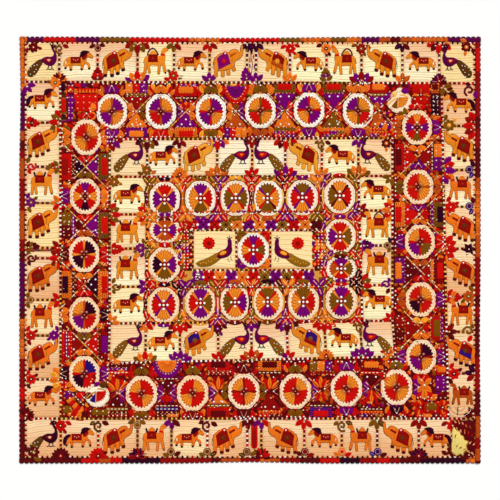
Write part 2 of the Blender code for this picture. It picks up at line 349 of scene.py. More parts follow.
def quilted_calico():
    """Hand-woven calico: matt and unbleached, with rows of running stitches that draw it down, and painted
    shade in their dips.
    """
    made, tree, shader = finish_of("quilted_calico", 0.92, 0.02)
    place, ink = place_of(tree), dye_of(tree)
    rows = add(tree, "SeparateXYZ", {"Vector": rows_of(tree)}).outputs
    row = counted(tree, "MULTIPLY", rows["Y"], 1 / (QUILTING_PITCH * MM))
    from_row = counted(tree, "PINGPONG", row, 1.0)
    near_row = add(tree, "MapRange", {"Value": from_row, **ROW_REACH}).outputs[0]
    number = counted(tree, "FLOOR", counted(tree, "ADD", row, 0.5))
    start = counted(tree, "MULTIPLY", number, STITCH_SHIFT)
    along = counted(tree, "MULTIPLY_ADD", rows["X"], 1 / (STITCH_PITCH * MM), start)
    on_top = counted(tree, "LESS_THAN", counted(tree, "FRACT", along), STITCH_SHARE)
    stitch = counted(tree, "MULTIPLY", near_row, on_top)
    cloth = tinted(tree, ink, slubs(tree, place, 7.0), 0.96, 1.08)
    # Painted shade: the cloth darkened along each row's dip
    dip_shaded = scaled(tree, cloth, counted(tree, "MULTIPLY_ADD", near_row, -0.16, 1.0))
    thread = (*INKS["l"], 1)
    sewn = add(tree, "Mix", {"Factor": stitch, 6: dip_shaded, 7: thread}, data_type="RGBA").outputs[2]
    tree.links.new(sewn, shader.inputs["Base Color"])
    weave = threads(tree, place, THREAD_SPACING)
    bumped(tree, shader, counted(tree, "MULTIPLY_ADD", stitch, 0.7, weave), 0.25)
    return made


def dyed_cotton():
    """Plain cotton, dyed by hand and turned under at its edges: matt, uneven and worn pale in spots."""
    made, tree, shader = finish_of("dyed_cotton", 0.85, 0.01)
    place = place_of(tree)
    coloured(tree, shader, dye_of(tree), slubs(tree, place, 9.0, 4.0), 0.86, 1.14)
    bumped(tree, shader, threads(tree, place, THREAD_SPACING), 0.22)
    return made


def cotton_floss():
    """Soft embroidery floss, couched and stitched: its strands lie side by side and shine a little."""
    made, tree, shader = finish_of("cotton_floss", 0.5, 0.0, 0.06)
    place = place_of(tree)
    coloured(tree, shader, dye_of(tree), slubs(tree, place, 3.0), 0.88, 1.12)
    strands = add(tree, "TexWave", {"Vector": place, "Scale": 150.0, "Distortion": 2.0, "Detail": 1.0},
                  bands_direction="DIAGONAL")
    bumped(tree, shader, strands.outputs["Fac"], 0.3)
    return made


def satin_stitch():
    """Satin stitch over the edging: close parallel threads of silky cotton, with a gloss across them."""
    made, tree, shader = finish_of("satin_stitch", 0.45, 0.0, 0.04)
    stretch = add(tree, "Mapping", {"Vector": rows_of(tree), "Scale": (600.0, 60.0, 1.0)}).outputs["Vector"]
    strands = add(tree, "TexNoise", {"Vector": stretch, "Scale": 1.0, "Detail": 2.0}).outputs["Fac"]
    coloured(tree, shader, dye_of(tree), strands, 0.8, 1.2)
    bumped(tree, shader, strands, 0.5)
    return made


def thick_knots():
    """Small white rings and knots of thick cotton thread, twisted and pulled tight: bright and matt."""
    made, tree, shader = finish_of("white_knots", 0.6, 0.03, 0.2)
    place = place_of(tree)
    coloured(tree, shader, dye_of(tree), slubs(tree, place, 2.0), 0.9, 1.06)
    bumped(tree, shader, slubs(tree, place, 1.0), 0.2)
    return made


def floor_paper():
    """Matt white backdrop paper: almost flat, with the faintest unevenness."""
    made, tree, shader = finish_of("backdrop_paper", 0.95, 0.0, 0.1)
    white = add(tree, "RGB").outputs[0]
    white.default_value = (0.98, 0.98, 0.98, 1)
    coloured(tree, shader, white, slubs(tree, place_of(tree), 900.0), 0.99, 1.0)
    return made


CALICO = quilted_calico()
COTTON = dyed_cotton()
FLOSS = cotton_floss()
SATIN = satin_stitch()
KNOT = thick_knots()
PAPER = floor_paper()


# Pieces


def add_piece(name, points, faces, inks, finishes, bake_map, rows_map=None, stands_for=()):
    """One mesh of the quilt.  The maps give each point's place, in metres or as a share of the whole."""
    mesh = bpy.data.meshes.new(name)
    mesh.from_pydata([(x * MM, y * MM, z * MM) for x, y, z in points], [], faces)
    used = []
    for finish, _ in finishes:
        if finish not in used:
            used.append(finish)
            mesh.materials.append(finish)
    numbers = [used.index(finish) for finish, count in finishes for _ in range(count)]
    mesh.polygons.foreach_set("material_index", numbers)
    dye = mesh.attributes.new("dye", "FLOAT_COLOR", "POINT")
    dye.data.foreach_set("color", [part for ink in inks for part in (*ink, 1.0)])
    corners = [0] * len(mesh.loops)
    mesh.loops.foreach_get("vertex_index", corners)
    for title, shares in (("OFBake", bake_map), ("Rows", rows_map)):
        if shares is not None:
            layer = mesh.uv_layers.new(name=title)
            layer.uv.foreach_set("vector", [part for corner in corners for part in shares[corner]])
    mesh.shade_smooth()
    mesh.set_sharp_from_angle(angle=radians(70))
    mesh.update()
    piece = bpy.data.objects.new(name, mesh)
    bpy.context.scene.collection.objects.link(piece)
    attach(piece, "root")
    if stands_for:
        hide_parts(*stands_for)
    return piece


def spread_map(points, whole=None):
    """Each point's place in a square map of the whole, which is as long as the piece or as is given."""
    xs, ys = [p[0] for p in points], [p[1] for p in points]
    left, low = min(xs), min(ys)
    whole = whole or max(max(xs) - left, max(ys) - low)
    return [((x - left) / whole, (y - low) / whole) for x, y in zip(xs, ys)]


def grid_faces(wide, long):
    """The faces of a grid of points that run along its rows, from the upper one down."""
    cells = [j * wide + i for j in range(long - 1) for i in range(wide - 1)]
    return [[here, here + wide, here + wide + 1, here + 1] for here in cells]


def rim_of(wide, long):
    """The numbers of the points round such a grid, clockwise from its first."""
    last = (long - 1) * wide
    return [*range(wide), *range(2 * wide - 1, last, wide), *range(last + wide - 1, last - 1, -1),
            *range(last - wide, 0, -wide)]


def ring_faces(rings, count):
    """The faces between each ring of so many points and the next."""
    faces = []
    for ring in range(rings - 1):
        for n in range(count):
            here, after = ring * count + n, ring * count + (n + 1) % count
            faces.append([here, after, after + count, here + count])
    return faces


def shrunk(outline, inset):
    """The outline, moved in everywhere by a small distance.  It runs anticlockwise."""
    moved = []
    for i, (x, y) in enumerate(outline):
        ax, ay = outline[i - 1]
        bx, by = outline[(i + 1) % len(outline)]
        before = hypot(x - ax, y - ay) or 1.0
        after = hypot(bx - x, by - y) or 1.0
        nx, ny = (ay - y) / before, (x - ax) / before
        mx, my = (y - by) / after, (bx - x) / after
        reach = inset / max(0.45, 1 + nx * mx + ny * my)
        moved.append((x + (nx + mx) * reach, y + (ny + my) * reach))
    return moved


def turned_left(outline):
    """The outline, running anticlockwise."""
    twice = sum(a[0] * b[1] - b[0] * a[1] for a, b in zip(outline, outline[1:] + outline[:1]))
    return outline if twice > 0 else outline[::-1]


HAIR = 0.045  # mm


class Heap:
    """Small cut and sewn shapes in one place, gathered until they are joined as one piece.

    level is the top of the cloth that they are sewn to.  A shape's ply says how many layers it lies above
    that cloth: its edge is drawn down into the cloth, and its top is that much higher.
    """

    def __init__(self, level, seed):
        self.level = level
        self.chance = Random(seed)
        self.points, self.inks, self.faces, self.finishes, self.plies = [], [], [], [], []

    def put(self, points, faces, inks, finish, ply):
        """Adds one shape, with an ink for each of its points."""
        first = len(self.points)
        self.points += points
        self.inks += inks
        self.faces += [[first + i for i in face] for face in faces]
        self.finishes.append((finish, len(faces)))
        self.plies += [round(ply)] * len(points)

    def ink(self, dye, spread=0.09):
        """One of the dyes, as it took on one cut of cloth."""
        return toned(INKS[dye], 1 + self.chance.uniform(-spread, spread))

    def top(self, ply):
        """A ply's top.  Each piece lies a hair higher than the last, so that no two share one plane."""
        return self.level + PLY * ply + HAIR * (len(self.finishes) % 11)

    def cut(self, outline, dye, ply=1, rim=1.0, edge=0.72):
        """A flat piece of cloth, turned under along its edge.  edge is how bright it is there: painted shade
        where the cloth turns under, deep enough at low values to read as a dark outline.
        """
        outline = turned_left(outline)
        count = len(outline)
        ink = self.ink(dye)
        low, high = self.level - SUNK, self.top(ply)
        rings = ((outline, low), (outline, high - 0.5), (shrunk(outline, rim), high))
        points = [(x, y, z) for ring, z in rings for x, y in ring]
        faces = ring_faces(3, count) + [[2 * count + i for i in range(count)]]
        # Its sides and rim take the edge brightness: painted shade where the cloth turns under
        self.put(points, faces, [toned(ink, edge)] * (2 * count) + [ink] * count, COTTON, ply)

    def cord(self, path, dye, width, ply=1, closed=False):
        """A couched thread: it is thickest along its middle."""
        count = len(path)
        ink = self.ink(dye)
        low, shoulder = self.top(ply) - PLY - 0.6, self.top(ply)
        profile = ((1, low), (0.6, shoulder), (-0.6, shoulder), (-1, low))
        points = []
        for i, (x, y) in enumerate(path):
            ax, ay = path[i - 1] if i or closed else path[0]
            bx, by = path[(i + 1) % count] if i < count - 1 or closed else path[-1]
            run = hypot(bx - ax, by - ay) or 1.0
            sx, sy = (ay - by) / run * width / 2, (bx - ax) / run * width / 2
            points += [(x + sx * out, y + sy * out, height) for out, height in profile]
        faces = []
        for i in range(count if closed else count - 1):
            here, there = 4 * i, 4 * ((i + 1) % count)
            faces += [[here + k, here + k + 1, there + k + 1, there + k] for k in range(3)]
        if not closed:
            last = 4 * count - 4
            faces += [[3, 2, 1, 0], [last, last + 1, last + 2, last + 3]]
        # Its low flanks are darker than its middle: painted shade either side of the raised thread
        self.put(points, faces, [toned(ink, 0.7), ink, ink, toned(ink, 0.7)] * count, FLOSS, ply)

    def knot(self, x, y, size, dye="w", ply=2, sides=7):
        """A knot or a small ring of thick thread, as a low dome."""
        ink, top = self.ink(dye, 0.05), self.top(ply)
        rings = ((1.0, top - PLY - 0.5), (0.95, top - 0.2), (0.6, top + 0.5))
        points = []
        for share, height in rings:
            points += [(px, py, height) for px, py in circle_at(x, y, size * share, sides)]
        points.append((x, y, top + 0.75))
        last = (len(rings) - 1) * sides
        faces = ring_faces(len(rings), sides)
        faces += [[last + n, last + (n + 1) % sides, len(points) - 1] for n in range(sides)]
        # Its lowest ring is darker: painted shade round the knot's foot
        self.put(points, faces, [toned(ink, 0.8)] * sides + [ink] * (len(points) - sides), KNOT, ply)

    def joined(self, name, stands_for=()):
        """All of it as one piece.  In the map its plies lie beside each other, and none hides another."""
        xs, ys = [p[0] for p in self.points], [p[1] for p in self.points]
        low, width, length = (min(xs), min(ys)), max(xs) - min(xs), max(ys) - min(ys)
        order = sorted(set(self.plies))
        wide = width > length
        whole = max(width, length * len(order)) if wide else max(width * len(order), length)
        bake_map = []
        for (x, y, _), ply in zip(self.points, self.plies):
            shift = order.index(ply)
            u = x - low[0] + (0 if wide else shift * width)
            v = y - low[1] + (shift * length if wide else 0)
            bake_map.append((u / whole, v / whole))
        return add_piece(name, self.points, self.faces, self.inks, self.finishes, bake_map,
                         stands_for=stands_for)


# Outlines, in mm, about their own middle or root


def placed(outline, x, y, turn=0.0):
    """The outline, turned by so many degrees and moved."""
    c, s = cos(radians(turn)), sin(radians(turn))
    return [(x + px * c - py * s, y + px * s + py * c) for px, py in outline]


def oval(width, length, sides=12):
    turns = [2 * pi * n / sides for n in range(sides)]
    return [(cos(turn) * width / 2, sin(turn) * length / 2) for turn in turns]


def box(width, length):
    x, y = width / 2, length / 2
    return [(-x, -y), (x, -y), (x, y), (-x, y)]


def leaf(length, width, steps=5):
    """A pointed leaf from its root along X."""
    upper = [(length * n / steps, width / 2 * sin(pi * n / steps) ** 0.8) for n in range(1, steps)]
    return [(0, 0)] + [(x, -y) for x, y in upper] + [(length, 0)] + upper[::-1]


def heart(width, depth, steps=5):
    """Two round lobes on top, and a blunt point at Y 0."""
    lobe = width / 4
    rise = depth - lobe
    half = [(width * 0.1, 0), (width * 0.42, rise * 0.6)]
    half += [(lobe + cos(pi * n / steps) * lobe, rise + sin(pi * n / steps) * lobe) for n in range(steps)]
    other = [(-x, y) for x, y in half[::-1]]
    return [other[-1], *half, (0, rise + lobe * 0.2), *other[:-1]]


def star(size, points, notch):
    """A flat flower with pointed petals."""
    outline = []
    for n in range(2 * points):
        reach = size / 2 * (1 - notch * (n % 2))
        outline.append((cos(pi * n / points) * reach, sin(pi * n / points) * reach))
    return outline


def curved(points, steps=3, closed=True):
    """A smooth line through all the points."""
    count = len(points)
    line = []
    for i in range(count if closed else count - 1):
        near = [k % count if closed else min(max(k, 0), count - 1) for k in range(i - 1, i + 3)]
        parts = list(zip(*(points[k] for k in near)))
        for t in (n / steps for n in range(steps)):
            line.append(tuple(0.5 * (2 * q + (r - p) * t + (2 * p - 5 * q + 4 * r - s) * t * t
                                     + (3 * q - p - 3 * r + s) * t ** 3) for p, q, r, s in parts))
    return line if closed else line + [points[-1]]


def fringed(ring, pitch, juts, least=1):
    """The outline, which runs anticlockwise, going out and in by so much at even steps all along it."""
    outline = []
    for (ax, ay), (bx, by) in zip(ring, ring[1:] + ring[:1]):
        dx, dy = bx - ax, by - ay
        run = hypot(dx, dy)
        steps = len(juts) * max(least, round(run / pitch)) or 1
        for n in range(steps):
            share, out = n / steps, juts[n % len(juts)] / run
            outline.append((ax + dx * share + dy * out, ay + dy * share - dx * out))
    return outline


def jagged(ring, jut, pitch):
    """The outline with small points all along it."""
    return fringed(ring, pitch, (0.0, jut))


def lobed(ring, jut, pitch):
    """The outline with small round lobes all along it."""
    return fringed(ring, pitch, (-jut, jut, jut), least=0)


def circle_at(x, y, size, sides):
    return placed(oval(size, size, sides), x, y)


# Quilted cloths


# Hand-dyed calicoes.  Each is drawn from its upper edge to its lower one, which differ in tone.
CLOTHS = {
    "gold": (linear("F9D694"), linear("F8DB9C")),
    "blush": (linear("F2C094"), linear("FCECC2")),
    "lemon": (linear("FAE3AC"), linear("FEF3C2")),
    "cream": (linear("FBECCA"), linear("FAEFCC")),
    "peach": (linear("F7CE9E"), linear("FADCA8")),
    "coral": (linear("F2B78A"), linear("F2BE8C")),
    "dusk": (linear("F6D2A6"), linear("EAB07E")),
    "flax": (linear("F8DA9C"), linear("F9DEA2")),
}
# Painted shade where a patch slopes down to its seams
SEAM_PAINTED_SHADE = linear("CF8658")
# The line along each row of quilting: partly its running thread's colour, partly painted shade in the row's
# dip
ROW_THREAD_AND_SHADE = linear("AC7840")
LINES_TO_ROW = 4  # lines of the mesh from one row of quilting to the next
ROWS_STEP = QUILTING_PITCH / LINES_TO_ROW
GRID_STEP = 40.0  # of the ground's mesh, in mm
BASE_STEP = 14.0  # of the cloths that small pieces are sewn to
MAP_WIDTH = 6.0  # m of cloth across the ground's map, with its back beside its top


def mix_points(a, b, share):
    """The point so far along the way from one to the other."""
    return tuple(p + (q - p) * share for p, q in zip(a, b))


def between(corners, across, down):
    """The point at those shares of a four-cornered piece's width and length."""
    upper = mix_points(corners.top_left, corners.top_right, across)
    lower = mix_points(corners.bottom_left, corners.bottom_right, across)
    return mix_points(upper, lower, down)


def strip_corners(strip):
    """A strip's four corners: the top and bottom strips of a ring take its corner patches."""
    outer, inner = strip.outer, strip.inner
    left, right = outer.top_left[0], outer.top_right[0]
    upper = ((left, inner.top_left[1]), (right, inner.top_right[1]))
    lower = ((left, inner.bottom_left[1]), (right, inner.bottom_right[1]))

    def on_line(line, x):
        (x0, y0), (x1, y1) = line
        return x, y0 + (y1 - y0) * (x - x0) / (x1 - x0)

    inner_left = on_line(upper, inner.top_left[0]), on_line(lower, inner.bottom_left[0])
    inner_right = on_line(upper, inner.top_right[0]), on_line(lower, inner.bottom_right[0])
    return {
        "top": Corners(outer.top_left, outer.top_right, upper[1], upper[0]),
        "bottom": Corners(lower[0], lower[1], outer.bottom_right, outer.bottom_left),
        "left": Corners(upper[0], inner_left[0], inner_left[1], lower[0]),
        "right": Corners(inner_right[0], upper[1], lower[1], inner_right[1]),
    }[strip.side]


def is_upright(strip):
    """Whether its patches run from top to bottom."""
    return strip.side in ("left", "right")


def pulled_in(corners):
    """The same corners, half a gap further in."""
    signs = Corners((1, -1), (-1, -1), (-1, 1), (1, 1))
    half = PIECE_GAP / 2
    return Corners(*((x + sx * half, y + sy * half) for (x, y), (sx, sy) in zip(corners, signs)))


def seam_places(widths, total):
    """How far along each seam is, with the strip's widths fitted to its real length."""
    places, at = [0.0], 0.0
    for width in widths:
        at += width * total / sum(widths)
        places.append(at)
    return places


def fine_lines(seams, step):
    """Lines of the mesh across a strip: close beside each seam, and then a step apart."""
    near, far = (0.0, 3.0, 7.0, 12.0), 18.0
    lines = []
    for start, end in zip(seams, seams[1:]):
        inner = end - start - 2 * far
        count = max(1, ceil(inner / step))
        lines += [start + d for d in near]
        lines += [start + far + inner * n / count for n in range(count + 1)]
        lines += [end - d for d in near[:0:-1]]
    return lines + [seams[-1]]


def even_lines(total, step):
    """Lines of the mesh about a step apart."""
    count = round(total / step)
    return [total * n / count for n in range(count + 1)]


def eased(share):
    """From 0 to 1, slowly at both ends."""
    share = min(max(share, 0.0), 1.0)
    return share * share * (3 - 2 * share)


def clouds(x, y, seed):
    """Slow, soft unevenness in a dye, from -1 to 1."""
    return (sin(x / 47 + seed) * cos(y / 39 - seed * 2) + sin((x + y) / 83 + seed * 3)) / 2


def closed_sheet(name, columns, rows, point_at, low, finish, stands_for=()):
    """A grid of cloth with a turned-down rim and a flat back.  point_at gives a point and its ink."""
    points, inks, shares = [], [], []
    wide, long = len(columns), len(rows)
    for y in rows:
        for x in columns:
            point, ink = point_at(x, y)
            points.append(point)
            inks.append(ink)
            shares.append((point[0] * MM, -y * MM))
    faces = grid_faces(wide, long)
    rim = rim_of(wide, long)
    first = len(points)
    for i in rim:
        points.append((points[i][0], points[i][1], low))
        # The turned-down rim is darker: painted shade on the sheet's sides
        inks.append(toned(inks[i], 0.7))
        shares.append(shares[i])
    for n, i in enumerate(rim):
        after = (n + 1) % len(rim)
        faces.append([i, rim[after], first + after, first + n])
    faces.append([first + n for n in range(len(rim))])
    bake_map = spread_map(points)
    add_piece(name, points, faces, inks, [(finish, len(faces))], bake_map, shares, stands_for)


def patchwork(name, corners, widths, cloths, downwards=False, slope=SEAM_SLOPE, seed=0,
              faintness=1.0):
    """Quilted patches side by side, crowned between their seams, each with its own cloth.

    faintness is how much of their full darkness the rows of quilting have: partly their thread's colour,
    partly painted shade in their dips.
    """
    corners = pulled_in(corners)
    width = corners.top_right[0] - corners.top_left[0]
    length = corners.top_left[1] - corners.bottom_left[1]
    seams_across = seam_places((1,) if downwards else widths, width)
    seams_down = seam_places(widths if downwards else (1,), length)

    def patch_of(place, seams):
        n = max(i for i in range(len(seams) - 1) if place >= seams[i] - 1e-6)
        return n, (place - seams[n]) / (seams[n + 1] - seams[n])

    def rise(place, seams):
        return eased(min(abs(place - seam) for seam in seams) / slope)

    def in_patches(places, seams):
        return {place: (patch_of(place, seams), rise(place, seams)) for place in places}

    across = in_patches(fine_lines(seams_across, ACROSS_STEP), seams_across)
    down = in_patches(even_lines(length, ROWS_STEP), seams_down)
    row_number = {y: n for n, y in enumerate(down)}
    chance = Random(name)
    bends = [(chance.uniform(-11, 11), chance.uniform(-13, 13)) for _ in widths]

    def point_at(x, y):
        (column, part), near_x = across[x]
        (row, share), near_y = down[y]
        px, py = between(corners, x / width, y / length)
        crown = near_x * near_y
        number = row if downwards else column
        bow, tilt = bends[number]
        wander = 2.4 * sin(px / 80 + row + seed + py / 50)
        py += crown * (wander + bow * sin(pi * part) + tilt * (part - 0.5))
        trough = row_number[y] % LINES_TO_ROW == 0
        height = SEAM_TOP + (PATCH_TOP - SEAM_TOP) * crown - (QUILTING_DEPTH * crown if trough else 0)
        height += 0.15 * clouds(px * 2, py * 2, seed) * crown
        upper, lower = CLOTHS[cloths[number]]
        ink = mixed(upper, lower, eased((share - 0.15) / 0.6))
        # Painted shade towards the seams, where the patch's crown falls away
        ink = mixed(ink, SEAM_PAINTED_SHADE, 0.55 * (1 - crown))
        # Each row's trough darkened: partly the thread's colour, partly painted shade
        ink = mixed(ink, ROW_THREAD_AND_SHADE, (chance.uniform(0.12, 0.5) if trough else 0) * faintness)
        tone = 1.05 + 0.035 * clouds(px, py, seed)
        return (px, py, height), toned(ink, tone)

    low = GROUND_THICK + PIECE_GAP
    closed_sheet("quilted_" + name, list(across), list(down), point_at, low, CALICO, (name,))


def side_start(side):
    """The outer corner that a side starts from, and the side's length."""
    half = (QUILT_WIDTH / 2, QUILT_LENGTH / 2)
    start = [-half[i] * (side.along[i] + side.inward[i]) for i in (0, 1)]
    return start, QUILT_WIDTH if side.along[0] else QUILT_LENGTH


def sag(side, from_middle):
    """How far the outer line has bowed in, at a place along its side."""
    away = (from_middle - side.sag_at) / side.sag_reach
    return side.sag * cos(away * pi / 2) ** 2 if abs(away) < 1 else 0.0


def on_side(side, along, inward):
    """The point so far along a side from its start, and so far in from its straight outer line."""
    start, _ = side_start(side)
    return tuple(start[i] + side.along[i] * along + side.inward[i] * inward for i in (0, 1))


def ground():
    """The quilted sheet under all the rest: maroon cotton, whose plain back shows only from below."""
    top, right, bottom, left = SIDES
    half_width = QUILT_WIDTH / 2 - EDGING_OVERHANG
    half_length = QUILT_LENGTH / 2 - EDGING_OVERHANG
    columns = even_lines(2 * half_width, GRID_STEP)
    rows = even_lines(2 * half_length, GRID_STEP)
    points, inks, shares, faces = [], [], [], []
    for height in (GROUND_THICK, 0.0):
        for y in rows:
            for x in columns:
                px, py = x - half_width, half_length - y
                across, down = x / columns[-1], y / rows[-1]
                moved = (px + sag(left, py) * (1 - across) - sag(right, -py) * across,
                         py - sag(top, px) * (1 - down) + sag(bottom, -px) * down)
                points.append((*moved, height))
                inks.append(toned(INKS["m"], 1 + 0.08 * clouds(px, py, 1)))
                shares.append((px * MM, py * MM))
    wide, long = len(columns), len(rows)
    half = wide * long
    for a, b, c, d in grid_faces(wide, long):
        faces += [[a, b, c, d], [half + a, half + d, half + c, half + b]]
    rim = rim_of(wide, long)
    for i, after in zip(rim, rim[1:] + rim[:1]):
        faces.append([i, after, half + after, half + i])
    bake_map = []
    for n, (x, y, _) in enumerate(points):
        beside = 0.45 if n >= half else 0
        bake_map.append((0.25 + x * MM / MAP_WIDTH + beside, 0.5 + y * MM / MAP_WIDTH))
    return add_piece("quilted_ground", points, faces, inks, [(CALICO, len(faces))],
                     bake_map, shares, ("ground",))


def base_cloth(name, corners, ink, step, finish):
    """A cloth that small pieces are sewn to: level, soft and quilted with the ground."""
    width = max(corners.top_right[0], corners.bottom_right[0]) - corners.top_left[0]
    length = corners.top_left[1] - corners.bottom_left[1]

    def point_at(x, y):
        px, py = between(corners, x / width, y / length)
        line = round(y / length * round(length / ROWS_STEP))
        trough = line % LINES_TO_ROW == 0 and step == ROWS_STEP
        height = BAND_TOP + 0.2 * clouds(px * 2, py * 2, 5) - (QUILTING_DEPTH if trough else 0)
        # Each quilted row's dip is darkened as well as lowered: painted shade
        return (px, py, height), toned(ink, 1 + 0.06 * clouds(px, py, 4) - (0.1 if trough else 0))

    columns, rows = even_lines(width, BASE_STEP), even_lines(length, step)
    closed_sheet(name, columns, rows, point_at, GROUND_THICK + 0.1, finish)


def band_cloths():
    """Maroon cotton under the band, in four lengths, and cream calico under the field."""
    outer, inner = BORDER_INNER, RING_OUTER
    lengths = {
        "top": Corners(outer.top_left, outer.top_right, inner.top_right, inner.top_left),
        "bottom": Corners(inner.bottom_left, inner.bottom_right, outer.bottom_right, outer.bottom_left),
        "left": Corners(outer.top_left, inner.top_left, inner.bottom_left, outer.bottom_left),
        "right": Corners(inner.top_right, outer.top_right, outer.bottom_right, inner.bottom_right),
    }
    for name, corners in lengths.items():
        base_cloth("band_cloth_" + name, corners, INKS["m"], BASE_STEP, COTTON)
    base_cloth("field_cloth", RING_INNER, mixed(INKS["y"], INKS["t"], 0.5), ROWS_STEP, CALICO)


# Edging


SCALLOP_STEPS = 8
# Across the edging, from its outer line in: how far in, how high, and how bright; the brightness is painted
# shade on its low sides and a painted highlight on its top.
EDGING_PROFILE = ((0.0, 3.4, 0.25), (0.3, 4.0, 0.3), (3.4, 5.0, 0.45), (6.0, 5.2, 0.95), (14.0, 5.4, 1.06),
                  (20.0, 5.4, 1.0), (25.0, 5.1, 0.75), (28.6, 4.4, 0.4), (29.0, 3.4, 0.3))
# The split between two scallops is darkened: painted shade in the groove.
SPLIT_REACH = 15.0  # how far in the dark split between two scallops runs


def dye_at(side, along):
    """The dye of a side's edging, so far along it."""
    for word in side.dyes.split():
        along -= float(word[1:])
        if along < 0:
            break
    return word[0]


def edging(side):
    """Satin-stitched cotton with round scallops, in lengths of several dyes: the stitches run across."""
    _, length = side_start(side)
    first = EDGING_WIDTH + PIECE_GAP
    scallops = round((length - first) / SCALLOP_PITCH)
    pitch = (length - first) / scallops
    chance = Random(side.name)
    points, inks, faces, shares = [], [], [], []
    deep = len(EDGING_PROFILE)
    columns = scallops * SCALLOP_STEPS
    for n in range(columns + 1):
        share = (n % SCALLOP_STEPS) / SCALLOP_STEPS
        along = first + n * pitch / SCALLOP_STEPS
        notch = SCALLOP_DEPTH * (1 - sqrt(max(0.0, 1 - (2 * share - 1) ** 2)))
        bow = sag(side, along - length / 2)
        dye = dye_at(side, along)
        ink = INKS[dye]
        if dye == "o":
            ink = mixed(ink, INKS["d"], chance.choice((0.0, 0.1, 0.35, 0.7)))
        ink = toned(ink, 1 + chance.uniform(-0.12, 0.12))
        for reach, height, tone in EDGING_PROFILE:
            inward = max(reach, notch + min(reach, 4.0) + bow * (1 - reach / EDGING_WIDTH))
            x, y = on_side(side, along, min(inward, EDGING_WIDTH))
            points.append((x, y, height))
            # Painted shade on the edging's sides and in the split between scallops, and a painted highlight
            # on its top
            inks.append(toned(ink, tone * (0.45 if share == 0 and reach < SPLIT_REACH else 1)))
            shares.append((along * MM, inward * MM))
    for n in range(columns):
        for k in range(deep - 1):
            here = n * deep + k
            faces.append([here, here + 1, here + deep + 1, here + deep])
        faces.append([n * deep, (n + 1) * deep, (n + 2) * deep - 1, (n + 1) * deep - 1])
    faces.append([deep - 1 - k for k in range(deep)])
    faces.append([columns * deep + k for k in range(deep)])
    add_piece("stitched_edging_" + side.name, points, faces, inks, [(SATIN, len(faces))],
              spread_map(points, QUILT_WIDTH), shares, ("edging_" + side.name,))


TOOTH = [(-3, -8), (11, -3.5), (13.5, 0), (11, 3.5), (-3, 8)]


def bead_row(side):
    """Inside the edging, small dark points and white knots by turns."""
    _, length = side_start(side)
    heap = Heap(SEAM_TOP, "beads " + side.name)
    first = EDGING_WIDTH + 14
    count = round((length - 2 * first) / SCALLOP_PITCH)
    pitch = (length - 2 * first) / count
    turn = degrees(atan2(side.inward[1], side.inward[0]))
    for n in range(count + 1):
        along = first + n * pitch
        dye = dye_at(side, along)
        point = heap.chance.choice(("m", "d", "k", dye, dye))
        heap.cut(placed(TOOTH, *on_side(side, along, EDGING_WIDTH + 1), turn), point)
        if n < count:
            middle = on_side(side, along + pitch / 2, EDGING_WIDTH + 5.5)
            heap.knot(*middle, 8.5, heap.chance.choice("wscsl"), 1, 6)
    heap.joined("edging_points_" + side.name)


# Roundels


PETALS = 24
PETAL_SPAN = 360 / PETALS  # degrees
# How far from ecru to white each line's cloth is, where it isn't as plain as the others'
PLAIN_PALENESS = 0.15
PALENESS = {"band_top": 0.75, "field_top": 0.58, "field_side": 0.4, "field_short": 0.4, "middle": 0.6,
            "band_corner": 0.4}
# How much of its octagon's width and length a flower takes, and how dark its petals are at their roots
BAND_FLOWER = (0.79, 0.80, 0.9)
FIELD_FLOWER = (0.77, 0.86, 0.4)
LINED_DYES = "ogbt"  # petals of these dyes have dark lines between them, and the others only dark tips
VALLEYS = {"o": ("d", 0.85), "g": ("t", 0.6), "r": ("m", 0.55), "p": ("k", 0.5), "b": ("k", 0.45)}
CORNERS = ((-1, 1), (1, 1), (1, -1), (-1, -1))


def deep_dye(dye, other="k"):
    """The dye that marks a piece of this one out."""
    return VALLEYS.get(dye, (other,))[0]


def flower_dyes(kind, code):
    """The dye of each petal, anticlockwise from the right.

    Five letters are the four wide sectors, clockwise, and the narrow arms between them.  A band flower's
    sectors start from its upper left and a field flower's from its top.  Eight letters go clockwise from
    the top, the diagonal ones narrow on a field flower and all as wide on the others.
    """
    even = len(code) == 8 and kind != "field"
    late = 3 if len(code) == 5 and kind == "band" else 0
    if len(code) == 5:
        code = "".join(sector + code[4] for sector in code[:4])
    dyes = []
    for k in range(PETALS):
        clockwise = (PETALS // 4 - k + late) % PETALS
        quarter, within = divmod(clockwise, PETALS // 4)
        letter = round(clockwise / 3) if even else 2 * quarter + (within >= 3) + (within > 3)
        dyes.append(code[letter % 8])
    return dyes


def on_oval(x, y, width, length, turn, share):
    """The point at that turn from an oval's middle, and at that share of the way to its edge."""
    turn = radians(turn)
    return x + cos(turn) * share * width / 2, y + sin(turn) * share * length / 2


def octagon(width, length):
    """An octagon with rounded corners."""
    outline = []
    for corner in range(8):
        for side in (-1, 0, 1):
            turn = radians(22.5 + 45 * corner + side * OCTAGON_CORNER)
            reach = 1.01 + 0.006 * (side == 0)
            outline.append((cos(turn) * width / 2 * reach, sin(turn) * length / 2 * reach))
    return outline


# The roundels' cloth from its edge in: how far out, how high and how bright; the brightness is painted shade
# at its sunk edge and in the quilted dips, and a painted highlight on the ridges.  It is quilted in rings.
CLOTH_RINGS = ((1.0, -SUNK, 0.6), (1.0, 0.35, 0.75), (0.98, 0.75, 1.02), (0.94, 0.8, 1.04),
               (0.9, 0.5, 0.98), (0.86, 0.8, 1.06), (0.82, 0.5, 0.98), (0.78, 0.8, 1.03), (0.3, 0.8, 1.0))
RING_LOBES = 26  # of the thread sewn round inside the edge


